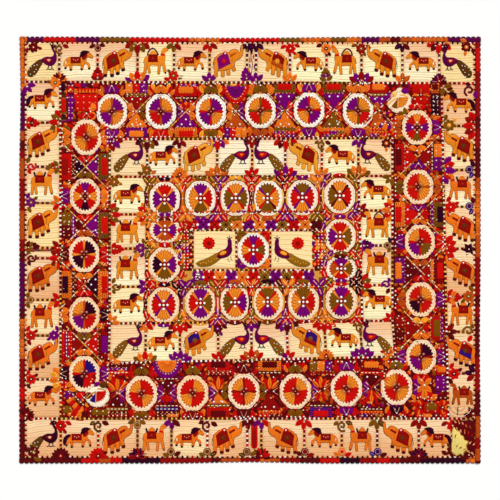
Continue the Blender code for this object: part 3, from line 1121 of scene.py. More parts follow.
def octagon_cloth(heap, x, y, width, length, pale):
    """The roundel's own cream cloth, quilted in rings that follow its edge."""
    ink = mixed(INKS["e"], INKS["w"], max(0, pale + heap.chance.uniform(-0.15, 0.15)))
    outline = lobed(octagon(width, length), 1.3, 20)
    count = len(outline)
    points, inks = [], []
    for share, rise, tone in CLOTH_RINGS:
        points += [(x + px * share, y + py * share, heap.level + rise) for px, py in outline]
        # Painted shade and highlight, ring by ring
        inks += [toned(ink, tone)] * count
    faces = ring_faces(len(CLOTH_RINGS), count)
    faces.append([len(points) - count + n for n in range(count)])
    heap.put(points, faces, inks, COTTON, 1)
    line = []
    for n in range(3 * RING_LOBES):
        reach = 0.985 * (0.905 + (0.022 if n % 3 else 0.0))
        line.append(on_oval(x, y, width, length, 360 * n / (3 * RING_LOBES), reach))
    heap.cord(line, "a", 2.2, 1, closed=True)


# Across a petal: where each line is, how high it lies and how far out its tip is
PLEATS = ((-0.5, 1.15, 0.86), (-0.33, 1.8, 0.92), (0.0, 2.1, 1.0), (0.33, 1.8, 0.92), (0.5, 1.15, 0.86))
PETAL_REACHES = (0.1, 0.5, 0.82)


def petal(heap, x, y, width, length, turn, span, dye, dark=0.3):
    """A pleated petal: a broad ridge along its middle with a painted highlight, a valley down each side, and
    a pointed dark tip.

    dark is how much it darkens towards the flower's middle.
    """
    ink = heap.ink(dye, 0.06)
    if dye == "o":
        ink = mixed(ink, INKS["g"], 0.5)
    valley, depth = VALLEYS.get(dye, ("k", 0.3))
    deep = mixed(ink, INKS[valley], depth)
    # Dyes in LINED_DYES have a dark thread line in each valley; the others get only a little painted shade
    # there
    line = deep if dye in LINED_DYES else mixed(ink, deep, 0.25)
    # The ridge is painted a little lighter: a painted highlight
    across = (line, ink, toned(ink, 1.06), ink, line)
    tips = (deep, deep, mixed(ink, deep, 0.7), deep, deep)
    points, inks = [], []
    for reach in PETAL_REACHES:
        for (side, rise, _), colour in zip(PLEATS, across):
            points.append((*on_oval(x, y, width, length, turn + side * span, reach), heap.level + rise))
            inks.append(mixed(colour, INKS["m"], dark if reach == PETAL_REACHES[0] else 0))
    for rise in (1.2, 0.2):
        for (side, side_rise, reach), colour in zip(PLEATS, tips):
            point = on_oval(x, y, width, length, turn + side * span, reach)
            points.append((*point, heap.level + min(rise, side_rise)))
            inks.append(colour)
    heap.put(points, grid_faces(len(PLEATS), len(PETAL_REACHES) + 2), inks, COTTON, 2)


def roundel(heap, kind, x, y, width, length, code, pale):
    """A roundel of the band or the field: its cloth, its flower and the knots in its middle."""
    octagon_cloth(heap, x, y, width, length, pale)
    across, up, dark = BAND_FLOWER if kind == "band" else FIELD_FLOWER
    if kind != "band":
        for k in range(8):
            turns = range(45 * k - 24, 45 * k + 25, 12)
            edge = [on_oval(x, y, width, length, turn, 1.024) for turn in turns]
            heap.cord(edge, heap.chance.choice("mdbrgmnr"), 6, 1)
    for k, dye in enumerate(flower_dyes(kind, code)):
        petal(heap, x, y, width * across * 1.02, length * up * 1.02, k * PETAL_SPAN, PETAL_SPAN, dye, dark)
    if kind == "band":
        heap.cut(circle_at(x, y, 26, 14), "m", 3)
        for sx, sy in CORNERS:
            heap.knot(x + sx * 12, y + sy * 14, 10.5, "s", 3, 8)
            heap.knot(x + sx * 12, y + sy * 14, 6.0, "d", 4, 6)
        heap.knot(x, y, 6, "s", 4, 7)
    else:
        heap.cut(circle_at(x, y, 30, 14), "d", 3)
        for sx, sy in ((0, 0), (-1, 0), (1, 0), (0, 1), (0, -1)):
            heap.knot(x + sx * 20, y + sy * 21, 13.5, "w", 3, 8)
    if len(code) == 8 and kind == "band":
        for sx, sy in ((0, 1), (1, 0), (0, -1), (-1, 0)):
            heap.knot(x + sx * 24, y + sy * 26, 10, "w", 3, 8)


# The leaves of the two small roundels, in the band's upper right corner and its lower left one: which of
# the roundel's dyes, how far from the flower's root, the turn, the length and the width
UPPER_LEAVES = ((4, -75, -24, 52, 66, 40), (5, -42, 2, 35, 44, 26), (6, -14, 26, 35, 40, 24),
                (3, 12, 34, 0, 46, 34))
LOWER_LEAVES = ((4, -107, -27, 15, 56, 36), (5, -68, -29, 15, 50, 34)) + UPPER_LEAVES[2:]


def corner_roundel(heap, x, y, width, length, code, pale):
    """A small roundel in the band's corner: a quarter of a flower and a wedge, and what overlaps it."""
    octagon_cloth(heap, x, y, width, length, pale)
    root = (x - 5, y + 22)
    for n in range(7):
        petal(heap, *root, 108, 114, -88 + 14 * n, 14, code[0])
    heap.cut(placed([(-4, -6), (-36, -46), (-22, -56), (-5, -58)], *root), code[1], 2)
    heap.cord(placed([(-1, 4), (-4, -60)], *root), "s", 4.5, 3)
    for letter, dx, dy, turn, reach, broad in LOWER_LEAVES if y < 0 else UPPER_LEAVES:
        heap.cut(placed(leaf(reach, broad), root[0] + dx, root[1] + dy, turn), code[letter], 2)
    heap.cord(placed([(4, 2), (-26, -12), (-58, -40)], *root), code[2], 8, 4)
    heap.cord(placed([(6, 14), (28, 13), (48, 4)], *root), code[2], 8, 3)
    heap.knot(*root, 9, "c", 4)


def roundel_lines():
    for line in ROUNDELS:
        heap = Heap(BAND_TOP, line.name)
        pale = PALENESS.get(line.name, PLAIN_PALENESS)
        flowers = line.flowers.split()
        for x, y, code in zip(line.xs, line.ys, flowers):
            if line.kind == "corner":
                corner_roundel(heap, x, y, line.width, line.length, code, pale)
            else:
                roundel(heap, line.kind, x, y, line.width, line.length, code, pale)
        names = [f"roundel_{line.name}_{n}" for n in range(1, len(flowers) + 1)]
        heap.joined("roundels_" + line.name, names)


# Figures: each is drawn on a square of 100 by 100, facing right, and is then stretched to its own size


ELEPHANT = [(3, 48), (5, 58), (13, 67), (25, 75), (38, 79), (50, 78), (58, 84), (68, 88), (78, 87),
            (85, 79), (89, 81), (91, 91), (92, 99), (98, 99), (99, 90), (98, 76), (95, 66), (87, 58),
            (77, 53), (71, 47), (70, 38), (62, 29), (44, 24), (24, 21), (12, 24), (5, 34)]
ELEPHANT_LEGS = (((11, 44), (9, 2), 12), ((31, 36), (32, 2), 12),
                 ((48, 38), (51, 8), 12), ((62, 44), (70, 20), 12))
ELEPHANT_SADDLE = [(12, 59), (23, 69), (36, 75), (49, 73), (58, 43), (18, 24)]
HORSE = [(20, 70), (40, 69), (57, 71), (62, 82), (71, 92), (82, 95), (92, 86), (99, 71), (96, 64),
         (89, 67), (83, 70), (77, 62), (75, 44), (69, 32), (56, 28), (42, 29), (30, 28), (17, 30),
         (11, 46), (12, 62)]
HORSE_LEGS = (((20, 42), (10, 26), 10), ((10, 28), (6, 18), 7), ((24, 42), (25, 10), 9),
              ((66, 42), (61, 12), 9), ((72, 48), (84, 36), 8), ((84, 38), (86, 18), 7))
HORSE_MANE = [(54, 72), (57, 86), (66, 97), (78, 100), (88, 96), (80, 88), (72, 80), (66, 72)]
CAMEL = [(3, 54), (5, 62), (12, 69), (24, 76), (34, 88), (44, 88), (54, 76), (64, 68), (70, 74), (73, 86),
         (78, 96), (86, 100), (95, 98), (99, 91), (93, 86), (86, 82), (87, 72), (88, 60), (84, 47),
         (74, 36), (56, 35), (38, 36), (20, 34), (8, 41)]
CAMEL_LEGS = (((11, 48), (6, 4), 11), ((18, 46), (25, 6), 10),
              ((66, 46), (61, 3), 10), ((79, 48), (88, 9), 11))
PEACOCK_TAIL = [(46, 56), (36, 52), (22, 42), (9, 30), (2, 18), (3, 7), (10, 1), (22, 3), (33, 14),
                (43, 30), (52, 46)]
PEACOCK = [(46, 53), (54, 60), (66, 64), (80, 64), (88, 69), (88, 77), (83, 85), (81, 93), (84, 99),
           (91, 101), (100, 97), (92, 94), (89, 91), (92, 84), (97, 74), (99, 62), (97, 50), (90, 40),
           (78, 35), (66, 38), (54, 45)]


def way(a, b):
    """How far it is from one point to the other, and the turn of that line in degrees."""
    return hypot(b[0] - a[0], b[1] - a[1]), degrees(atan2(b[1] - a[1], b[0] - a[0]))


def strap(start, end, width):
    """A straight strip with rounded ends."""
    reach, turn = way(start, end)
    half = width / 2
    outline = [(0, -half), (reach - half * 0.4, -half), (reach, -half * 0.6), (reach, half * 0.6),
               (reach - half * 0.4, half), (0, half), (-half * 0.5, 0)]
    return placed(outline, *start, turn)


class Figure:
    """Places what is drawn on the square of 100 by 100 on its patch."""

    def __init__(self, heap, x, y, width, length, facing):
        self.heap, self.x, self.y = heap, x, y
        self.across, self.up = facing * width / 100, length / 100

    def fitted(self, points):
        return [(self.x + (px - 50) * self.across, self.y + (py - 50) * self.up) for px, py in points]

    def cut(self, points, dye, ply=1, **other):
        self.heap.cut(self.fitted(points), dye, ply, **other)

    def cord(self, points, dye, width, ply=1, closed=False):
        self.heap.cord(self.fitted(points), dye, width, ply, closed)

    def knot(self, x, y, size, dye="w", ply=3):
        px, py = self.fitted([(x, y)])[0]
        self.heap.knot(px, py, size, dye, ply)

    def legs(self, legs, dye, hoof=None, line="b"):
        """Strips with a couched line round each, and a dark hoof where there is one."""
        for start, end, width in legs:
            shape = strap(start, end, width)
            self.cut(shape, dye)
            self.cord(shape[:-1], line, 2.8, 1)
            if hoof:
                inner = mix_points(end, start, 7 / way(start, end)[0])
                self.cut(strap(inner, end, width * 1.04), hoof, 2)

    def lined(self, outline, dye, line, width, rim=1.6):
        """A rounded piece with a couched line round it."""
        smooth = curved(outline)
        self.cut(smooth, dye, rim=rim)
        self.cord(smooth, line, width, 1, closed=True)


def elephant(figure, dye="h", saddle="d", device="n", hem=None, hoof=None):
    """An elephant with a saddle cloth, a flower device on it, and perhaps a hem to the cloth and hooves."""
    figure.legs(ELEPHANT_LEGS, dye, hoof, "n")
    figure.lined(ELEPHANT, dye, "n", 3.0)
    figure.cord(curved([(6, 62), (2, 50), (0, 36), (1, 26)], closed=False), "m", 3.4)
    figure.cord(curved([(53, 77), (60, 70), (63, 60), (62, 48)], closed=False), "b", 2.4, 2)
    figure.cut(curved([(30, 70), (36, 81), (45, 80), (47, 71)], 2), "r", 2)
    sides = zip(ELEPHANT_SADDLE, ELEPHANT_SADDLE[1:] + ELEPHANT_SADDLE[:1])
    figure.cut([mix_points(a, b, n / 4) for a, b in sides for n in range(4)], saddle, 2, rim=1.6)
    if hem:
        figure.cut([(16, 40), (54, 57), (58, 43), (18, 24)], hem, 3, rim=1.4)
    purple = saddle == "p"
    figure.cord([(16, 56), (48, 68), (53, 45), (21, 30)], "r" if purple else "m", 2.6, 3, closed=True)
    figure.cut(placed(star(21, 8, 0.45), 36, 51, 20), device, 3)
    figure.knot(36, 51, 5, "t", 4)
    figure.knot(40, 75, 9, "w", 4)
    figure.cut(placed(strap((-9, -4), (9, 6), 6.5), 66, 71), "t" if purple else "d", 2)
    figure.knot(79, 79, 5, "k", 2)


def horse(figure, dye="h", dark_tail=False):
    """A horse with a dark mane, and a tail of cut cloth or of two couched cords."""
    figure.legs(HORSE_LEGS, dye, line="t")
    for x, y in ((7, 16), (25, 8), (61, 10), (86, 15)):
        figure.cut(placed(oval(9, 11, 8), x, y), "k", 2)
    figure.lined(HORSE, dye, "b", 2.4)
    figure.cut(curved([(60, 74), (66, 84), (78, 88), (80, 76), (74, 62), (66, 56)], 2), "d", 2)
    figure.cut(curved(HORSE_MANE, 2), "k", 3)
    for n in range(6):
        across, up = cos(radians(155 - 22 * n)), sin(radians(155 - 22 * n))
        tuft = strap((70 + 6 * across, 84 + 8 * up), (72 + 17 * across, 85 + 18 * up), 6)
        figure.cut(tuft, "k", 3)
    figure.knot(88, 84, 4, "k", 2)
    figure.cut(placed(box(34, 32), 41, 56), "d", 2)
    figure.cord([(27, 44), (55, 44), (55, 68), (27, 68)], "m", 2.4, 3, closed=True)
    for x, y in ((34, 58), (41, 53), (48, 58)):
        figure.knot(x, y, 5.5, "s", 3)
    if dark_tail:
        tail = [(19, 69), (7, 66), (-3, 50), (-5, 28), (0, 14), (8, 32), (11, 48), (21, 58)]
        figure.cut(curved(tail, 2), "k", 1)
    else:
        for tail in ([(17, 68), (8, 58), (2, 42), (0, 26)], [(10.6, 60), (4, 50), (4.4, 42), (5.6, 26)]):
            figure.cord(curved(tail, closed=False), dye, 6)


def camel(figure, dye="h", arched=False, ground=None):
    """A camel whose saddle has two horns or an arch, and under it perhaps hoops for the ground."""
    figure.legs(CAMEL_LEGS, dye)
    figure.lined(CAMEL, dye, "b", 2.4)
    figure.cord([(5, 60), (2, 50), (1, 42)], "b", 3.2)
    figure.cut(placed(oval(7, 8, 8), 89, 8), "k", 2)
    figure.cut([(18, 47), (59, 47), (57, 76), (20, 76)], "d", 2, rim=1.6)
    figure.cord([(22, 51), (55, 51), (53, 72), (24, 72)], "m", 2.4, 3, closed=True)
    figure.knot(38, 61, 7, "t", 3)
    if arched:
        figure.cord(curved([(17, 73), (22, 88), (38, 98), (52, 88), (60, 73)], closed=False), "m", 7.5, 3)
    else:
        figure.cut(strap((20, 72), (15, 87), 7), "k", 3)
        figure.cut(strap((57, 72), (62, 87), 7), "k", 3)
    figure.cut([(70, 80), (86, 76), (86, 69), (69, 72)], "r", 2)
    figure.knot(86, 93, 4, "k", 2)
    if ground:
        figure.cut(strap((66, -6), (68, -42), 7), ground)
        for n in range(5):
            bend = [(58 + 10 * (n + 1) * cos(radians(t)), -6 - 8.5 * (n + 1) * sin(radians(t)))
                    for t in range(0, 181, 20)]
            figure.cord(bend, "l" if n % 2 else "w", 2.2)


# How far along the tail each of its white spots is, and how far to one side
TAIL_SPOTS = ((0.2, 0), (0.38, -1), (0.44, 1), (0.6, -2), (0.64, 1), (0.82, -2), (0.84, 2), (0.94, 0))


def peacock(figure, dye="q", wing="d", tail="n"):
    """A peacock with a spotted tail, a crest and a beak."""
    figure.lined(PEACOCK_TAIL, tail, "k", 2.0, rim=1.0)
    for along, side in TAIL_SPOTS:
        x, y = 40 - 30 * along, 46 - 38 * along
        figure.knot(x + side * 4, y - side * 4.5, 5.4, "w", 2)
    for foot, toe in (((72, 38), (70, 27)), ((82, 38), (83, 27))):
        figure.cord([foot, toe, (toe[0] + 6, toe[1] - 3)], "k", 6.0)
        figure.cord([toe, (toe[0] - 6, toe[1] - 3)], "k", 6.0)
    figure.cut(curved(PEACOCK), dye, 2, rim=1.4)
    figure.cut(curved([(54, 57), (78, 59), (84, 52), (70, 43)], 2), wing, 3)
    figure.cut(curved([(66, 55), (78, 56), (74, 48)], 2), "o" if wing == "r" else "s", 4)
    figure.cord(curved([(84, 98), (78, 101), (77, 106)], closed=False), "k", 5.5, 2)
    figure.cord(curved([(87, 99), (86, 104), (88, 108)], closed=False), "k", 5, 2)
    figure.cut(placed(oval(14, 12, 10), 86, 97), "k", 3)
    figure.knot(88, 97, 4, "y", 3)


def stem(figure):
    """A tall stem with a dark flower, for the narrow strip between two patches."""
    figure.cord(curved([(52, 92), (44, 66), (58, 40), (48, 6)], closed=False), "b", 5)
    figure.cut(placed(star(34, 8, 0.4), 50, 88), "k")
    for x, y, dye in ((62, 58, "r"), (40, 46, "r"), (72, 24, "p"), (40, 26, "p"), (30, 12, "o")):
        figure.cut(placed(leaf(20, 12), x, y, 60 if x > 50 else 120), dye, 2)


def thistle(figure):
    """A tall red flower with toothed petals."""
    figure.cord([(50, 98), (52, 50), (50, 2)], "b", 5)
    for n in range(8):
        for side in (-1, 1):
            figure.cut(placed(leaf(29, 14), 50, 12 + 10 * n, 90 - side * 55), "r", 2)
    figure.cut(placed(oval(30, 80), 50, 52), "d", 3)


def leaves(figure):
    """Two long rows of leaves along a low strip."""
    for n in range(7):
        for side in (-1, 1):
            figure.cut(placed(leaf(13, 20), 10 + 12 * n, 50, side * 62), "rpmb"[n % 4], 1)
    figure.cord([(4, 50), (96, 50)], "b", 5, 2)


def rag(figure):
    """A patch that has worn through: maroon cloth with flecks, and paler cloth showing in the tear."""
    patch = [(4, 4), (52, 2), (97, 5), (96, 50), (98, 96), (50, 97), (3, 95), (5, 52)]
    figure.cut(curved(patch, 2), "m", 1)
    torn = [(101, 12), (80, 2), (62, 8), (52, 2), (46, 14), (33, 18), (38, 30), (28, 42), (46, 46),
            (50, 56), (62, 60), (66, 70), (80, 72), (92, 84), (100, 66), (97, 50), (101, 36)]
    figure.cut(torn, "l", 2)
    figure.cut([(x * 0.9 + 8, y * 0.92 + 3) for x, y in torn], "v", 3)
    for n in range(60):
        x, y = 8 + (n * 37) % 85, 7 + (n * 53) % 87
        inside = x > 52 and y < 20 + (x - 52) * 1.1
        fleck = placed(leaf(7 + n % 4 * 2, 4), x, y, (n * 71) % 180)
        dye, ply = ("lb"[n % 2], 4) if inside else ("srdlso"[n % 6], 2)
        figure.cut(fleck, dye, ply, rim=0.6)


# What each figure is: its form and its own choices, its width and its length in mm
FIGURES = {
    "elephant": (elephant, {"hoof": "m"}, 158, 168),
    "elephant_hoof": (elephant, {"hoof": "k"}, 158, 168),
    "elephant_purple": (elephant, {"saddle": "p", "device": "r"}, 158, 168),
    "elephant_gold": (elephant, {"device": "g", "hem": "t"}, 156, 166),
    "elephant_blue": (elephant, {"saddle": "u", "device": "b", "hem": "d"}, 156, 162),
    "elephant_hem": (elephant, {"hem": "u", "hoof": "k"}, 156, 166),
    "elephant_ring": (elephant, {"dye": "g"}, 158, 170),
    "horse": (horse, {}, 156, 106),
    "horse_black": (horse, {"dark_tail": True}, 156, 108),
    "camel": (camel, {}, 126, 142),
    "camel_arch": (camel, {"arched": True}, 130, 142),
    "camel_dull": (camel, {"dye": "t", "ground": "b"}, 120, 116),
    "peacock": (peacock, {}, 158, 168),
    "peacock_olive": (peacock, {"tail": "b"}, 158, 168),
    "peacock_red": (peacock, {"wing": "r", "tail": "b"}, 156, 168),
    "peacock_dark": (peacock, {"dye": "k", "wing": "m"}, 160, 172),
    "stem": (stem, {}, 56, 150),
    "thistle": (thistle, {}, 78, 140),
    "leaves": (leaves, {}, 150, 44),
    "rag": (rag, {}, 126, 196),
}


# The animals are amber, but from these places along these strips on they are orange.
ORANGE_FROM = {"border_bottom": 0, "border_right": 2, "border_left": 5}
MIDDLE_LINE = 15.0  # in mm: a figure left of this line faces right, and the others face left


def figures_on(strip):
    """A strip's figures, each in the middle of its patch and turned to face the quilt's own middle."""
    heap = Heap(PATCH_TOP, "figures " + strip.name)
    corners = strip_corners(strip)
    downwards = is_upright(strip)
    seams = seam_places(strip.widths, 1.0)
    for n, name in enumerate(strip.figures.split()):
        share = (seams[n] + seams[n + 1]) / 2
        x, y = between(corners, 0.5, share) if downwards else between(corners, share, 0.5)
        form, choices, width, length = FIGURES[name]
        if form in (elephant, horse, camel) and n >= ORANGE_FROM.get(strip.name, len(strip.widths)):
            choices = {"dye": "o", **choices}
        figure = Figure(heap, x, y + strip.lift, width, length, 1 if x < MIDDLE_LINE else -1)
        form(figure, **choices)
    heap.joined("figures_" + strip.name)


def panel_peacock(name, corners, facing):
    """A red flower over a peacock whose long tail lies along the panel."""
    patchwork(name, corners, (1,), ("flax",), slope=SQUARE_SLOPE, seed=7, faintness=0.12)
    heap = Heap(PATCH_TOP, name)
    x, y = between(corners, 0.5, 0.5)
    figure = Figure(heap, x, y - 5, 200, 150, facing)
    flower = figure.fitted([(35, 75)])[0]
    heap.cut(placed(star(70, 12, 0.16), *flower), "r")
    heap.cut(placed(star(24, 12, 0.16), *flower), "d", 2)
    tail = [(80, 44), (56, 41), (45, 33), (29, 22), (12, 14), (2, 5), (8, -3), (19, -6), (38, -3), (55, 9),
            (68, 23), (86, 32)]
    figure.lined(tail, "f", "n", 2.2, rim=1.0)
    for n in range(8):
        figure.knot(14 + 7 * n, 4 + n * n / 2 + n % 2 * 4, 5.5, "y", 2)
    body = [(56, 30), (62, 41), (69, 49), (79, 57), (84, 69), (84, 79), (84, 87), (88, 91), (93, 87),
            (95, 78), (95, 65), (96, 52), (93, 39), (85, 29), (72, 23), (60, 23)]
    figure.cut(curved(body), "q", 2)
    figure.cut(placed(oval(31, 20), 72, 41, 34), "d", 3)
    figure.cut(placed(oval(20, 12), 72, 41, 34), "g", 4)
    for toe in ((82, 96), (96, 96), (89, 101)):
        figure.cord([(89, 89), toe], "k", 4.2, 2)
    figure.cord([(92, 30), (93, 18), (97, 16)], "n", 3.2)
    figure.cord([(85, 26), (85, 14), (90, 12)], "n", 3.2)
    heap.joined("figures_" + name)


# Sashing and sprigs


def along_line(a, b, step):
    """Places along a line, about a step apart, with the line's turn in degrees."""
    reach, turn = way(a, b)
    count = max(1, round(reach / step))
    return [(mix_points(a, b, (n + 0.5) / count), turn) for n in range(count)]


# Runs of the sashing: the dye under the blocks, and then the two that the blocks have by turns
SASH_RUNS = "wmd smk cmr wdm ymd ynm cmb sdm lnm ydk wmr cnd".split()


def sash(heap, a, b, width=10.5):
    """A line of small blocks over a seam, in runs of two dyes by turns."""
    left = 0
    for n, (place, turn) in enumerate(along_line(a, b, DASH_PITCH)):
        if left == 0:
            under, *blocks = heap.chance.choice(SASH_RUNS)
            left = heap.chance.randint(3, 8)
        left -= 1
        turn += heap.chance.uniform(-3, 3)
        heap.cut(placed(box(DASH_PITCH + 0.5, width), *place, turn), under, 1, rim=1.2)
        block_box = box(DASH * heap.chance.uniform(0.9, 1.15), width + 2.5)
        heap.cut(placed(block_box, *place, turn), blocks[n % 2], 2, rim=1.4, edge=0.8)


def sashing_of(strip):
    """Sashing along a strip's edges and over each of its seams."""
    heap = Heap(SEAM_TOP, "sashing " + strip.name)
    corners = strip_corners(strip)
    downwards = is_upright(strip)
    for share in seam_places(strip.widths, 1.0)[1:-1]:
        if downwards:
            sash(heap, between(corners, 0.03, share), between(corners, 0.97, share))
        else:
            sash(heap, between(corners, share, 0.03), between(corners, share, 0.97))
    upper_left, upper_right, lower_right, lower_left = corners
    first, last = (upper_left, upper_right), (lower_left, lower_right)
    if downwards:
        first, last = (upper_left, lower_left), (upper_right, lower_right)
    inner, outer = (first, last) if strip.side in ("bottom", "right") else (last, first)
    sash(heap, *inner)
    if strip.name.startswith("ring"):
        sash(heap, *outer)
        if not downwards:
            sash(heap, corners.top_left, corners.bottom_left)
            sash(heap, corners.top_right, corners.bottom_right)
    heap.joined("sashing_" + strip.name)


# The thread along a leaf of each dye
VEINS = {"o": "d", "g": "t", "t": "g", "b": "n", "n": "l", "l": "n", "r": "m", "p": "k", "m": "k", "k": "p",
         "d": "m"}


def veined_leaf(heap, x, y, turn, length, width, dye, ply=2):
    """A cut leaf with a couched thread along its middle."""
    heap.cut(placed(leaf(length, width * 1.15), x, y, turn), dye, ply, rim=1.2)
    start, end = placed([(length * 0.26, 0), (length * 0.76, 0)], x, y, turn)
    heap.cord([start, end], VEINS.get(dye, "s"), 2.2, ply + 1)


class Sprig:
    """A small cluster, rooted at a point and growing the way that it is turned."""

    def __init__(self, heap, dyes, x, y, turn, size):
        self.heap, self.dyes, self.x, self.y, self.turn, self.size = heap, dyes, x, y, turn, size

    def at(self, reach, side=0):
        return placed([(reach * self.size, side * self.size)], self.x, self.y, self.turn)[0]

    def dye(self, n):
        return self.dyes[n % len(self.dyes)]

    def grow(self, reach, side, lean, length, width, n, ply=2):
        """A veined leaf, rooted so far up and to the left, and leaning to the left by so much."""
        sizes = length * self.size, width * self.size
        veined_leaf(self.heap, *self.at(reach, side), self.turn + lean, *sizes, self.dye(n), ply)

    def disc(self, reach, size, sides, dye, ply):
        self.heap.cut(circle_at(*self.at(reach), size * self.size, sides), dye, ply)

    def dot(self, reach, side=0, dye="c", width=7.5):
        self.heap.knot(*self.at(reach, side), width, dye, 5)


def rose(sprig):
    """Seven round petals between three leaves."""
    sprig.grow(2, -16, -62, 30, 15, 1, 1)
    sprig.grow(2, 16, 62, 30, 15, 0, 1)
    for turn in (360 / 7 * n for n in range(7)):
        middle = placed([(14 * sprig.size, 0)], *sprig.at(19), turn)[0]
        sprig.heap.cut(placed(oval(18 * sprig.size, 15 * sprig.size, 9), *middle, turn), sprig.dye(0), 2)
    sprig.disc(19, 17, 10, sprig.dye(1), 3)
    sprig.dot(19)
    sprig.grow(31, 10, 34, 22, 12, 1)


def ringed_disc(sprig):
    """A disc in a disc, a couched ring between them and a leaf either side."""
    sprig.grow(0, -9, -66, 30, 15, 1)
    sprig.grow(0, 9, 62, 26, 14, 0)
    sprig.disc(16, 29, 14, sprig.dye(0), 3)
    sprig.heap.cord(circle_at(*sprig.at(16), 19 * sprig.size, 14), "s", 2.4, 4, closed=True)
    sprig.disc(16, 11, 12, sprig.dye(1), 4)


def curl(sprig):
    """A thick cord coiled round a knot, and a leaf either side."""
    coil = [((4 + 1.9 * k) * sprig.size, 0.75 * k) for k in range(10)]
    spiral = [(reach * cos(angle), reach * sin(angle)) for reach, angle in coil]
    sprig.grow(4, 13, 62, 30, 16, 1)
    sprig.grow(2, -12, -58, 24, 13, 0)
    sprig.heap.cord(placed(spiral, *sprig.at(20), sprig.turn), sprig.dye(0), 8.5 * sprig.size, 3)
    sprig.dot(20, 0, "s", 7)


def fan(sprig):
    """Five leaves, the middle one on top, and three knots over their roots."""
    for n in (-2, 2, -1, 1, 0):
        away = abs(n)
        sprig.grow(-5, n * 10, n * 27, 48 - 4 * away, 22, away, 3 - away)
    for reach, side in ((9, -15), (2, 0), (9, 15)):
        sprig.dot(reach, side)


def tower(sprig):
    """Three pairs of leaves up a stem, and one at its top."""
    for n in range(3):
        for side in (-1, 1):
            sprig.grow(1 + 14 * n, 0, side * 60, 33 - 6 * n, 17, n, 1)
    sprig.grow(31, 0, 0, 26, 16, 0)
    sprig.dot(8)
    sprig.dot(24, 0, "s", 7)


def six_petals(sprig):
    """A flat flower with six petals, a disc on it and three knots."""
    sprig.heap.cut(placed(star(54 * sprig.size, 6, 0.42), *sprig.at(18), sprig.turn), sprig.dye(0), 1)
    sprig.disc(18, 20, 10, sprig.dye(1), 2)
    for reach, side in ((18, 0), (-2, -18), (-2, 18)):
        sprig.dot(reach, side)


def half_flower(sprig):
    """Half a flower of nine leaves."""
    for n in range(9):
        sprig.grow(-4, 0, -92 + 23 * n, 38, 15, n, 1)
    sprig.disc(0, 20, 12, "d", 2)
    sprig.dot(0)


def three_leaves(sprig):
    for side, n in ((-1, 0), (1, 1)):
        sprig.grow(-3, side * 4, side * 46, 38, 18, n)
    sprig.grow(2, 0, 0, 34, 17, 0, 1)
    sprig.dot(5)


SPRIGS = {"rose": rose, "ring": ringed_disc, "curl": curl, "fan": fan, "tower": tower, "star": six_petals,
          "half": half_flower, "leaf": three_leaves}

SEWN_TURN = {"top": -90, "bottom": 90, "left": 0, "right": 180}  # from a strip's outer edge into it
STRIP_END = 0.012  # how near to a strip's end a sprig grows, as a share of its length


def sprigs_of(strip):
    """Sprigs over the ends of a strip's seams, growing into the strip from both of its long edges."""
    heap = Heap(PATCH_TOP - 0.8, "sprigs " + strip.name)
    corners = strip_corners(strip)
    downwards = is_upright(strip)
    seams = seam_places(strip.widths, 1.0)
    early = strip.side in ("top", "left")
    outer_share = 0.05 if early else 0.95
    size = 1.2 if strip.name.startswith("ring") else 1.25 if early else 1.4
    turn = SEWN_TURN[strip.side]
    for words, share, turn in ((strip.outer_sprigs.split(), outer_share, turn),
                               (strip.inner_sprigs.split(), 1 - outer_share, turn + 180)):
        first = 0 if len(words) > len(seams) - 2 else 1
        for n, word in enumerate(words, start=first):
            seam = min(max(seams[min(n, len(seams) - 1)], STRIP_END), 1 - STRIP_END)
            place = between(corners, share, seam) if downwards else between(corners, seam, share)
            inwards = 45 if seam == STRIP_END else -45 if seam == 1 - STRIP_END else 0
            # Seen from an outer sprig, its strip's first seam is on the left in the top and right strips.
            lean = inwards if share == outer_share and strip.side in ("top", "right") else -inwards
            form, dyes = word.split("_")
            SPRIGS[form](Sprig(heap, dyes, *place, turn + lean + heap.chance.uniform(-8, 8), size))
    heap.joined("sprigs_" + strip.name)


# The band between the two rings


ROW_HEIGHT = 17.0
ROW_HEIGHTS = {"=": 52.0, "|": 52.0, "(": 84.0}  # of the rows that are not plain
CROSSING_GAP = 7.0  # from the middle of a crossing to the wedges' points
WEDGE_HALF = 0.225  # a wedge's greatest half width, as a share of the roundels' pitch
CROSS_REACH = 0.36  # how far a crossing's lines reach, along and across, as a share of that pitch
SHOULDER_DYES = {"band_top": "oorgotdo", "band_bottom": "rdmordmr", "band_left": "ordmtorb",
                 "band_right": "ordmtorb"}


def bowl(heap, corners, dye, inner):
    """A half round of one dye, open outwards, with another in it that a fan of threads and dots lie on."""
    def rim(share, turn):
        return between(corners, 0.5 - 0.58 * share * cos(radians(turn)), share * sin(radians(turn)))

    outline = turned_left([rim(1.08, turn) for turn in range(0, 181, 15)])
    heap.cut(jagged(outline, 2.5, 12), dye, 2, rim=1.4)
    outline = turned_left([rim(0.7, turn) for turn in range(0, 181, 18)])
    heap.cut(jagged(outline, 3, 11), inner, 3, rim=1.4)
    for turn in range(18, 170, 18):
        heap.cord([rim(0.22, turn), rim(0.6, turn)], deep_dye(inner), 3.0, 4)
    for turn in range(8, 180, 15):
        heap.knot(*rim(0.8, turn), 7.5, heap.chance.choice("csl"), 3, 6)


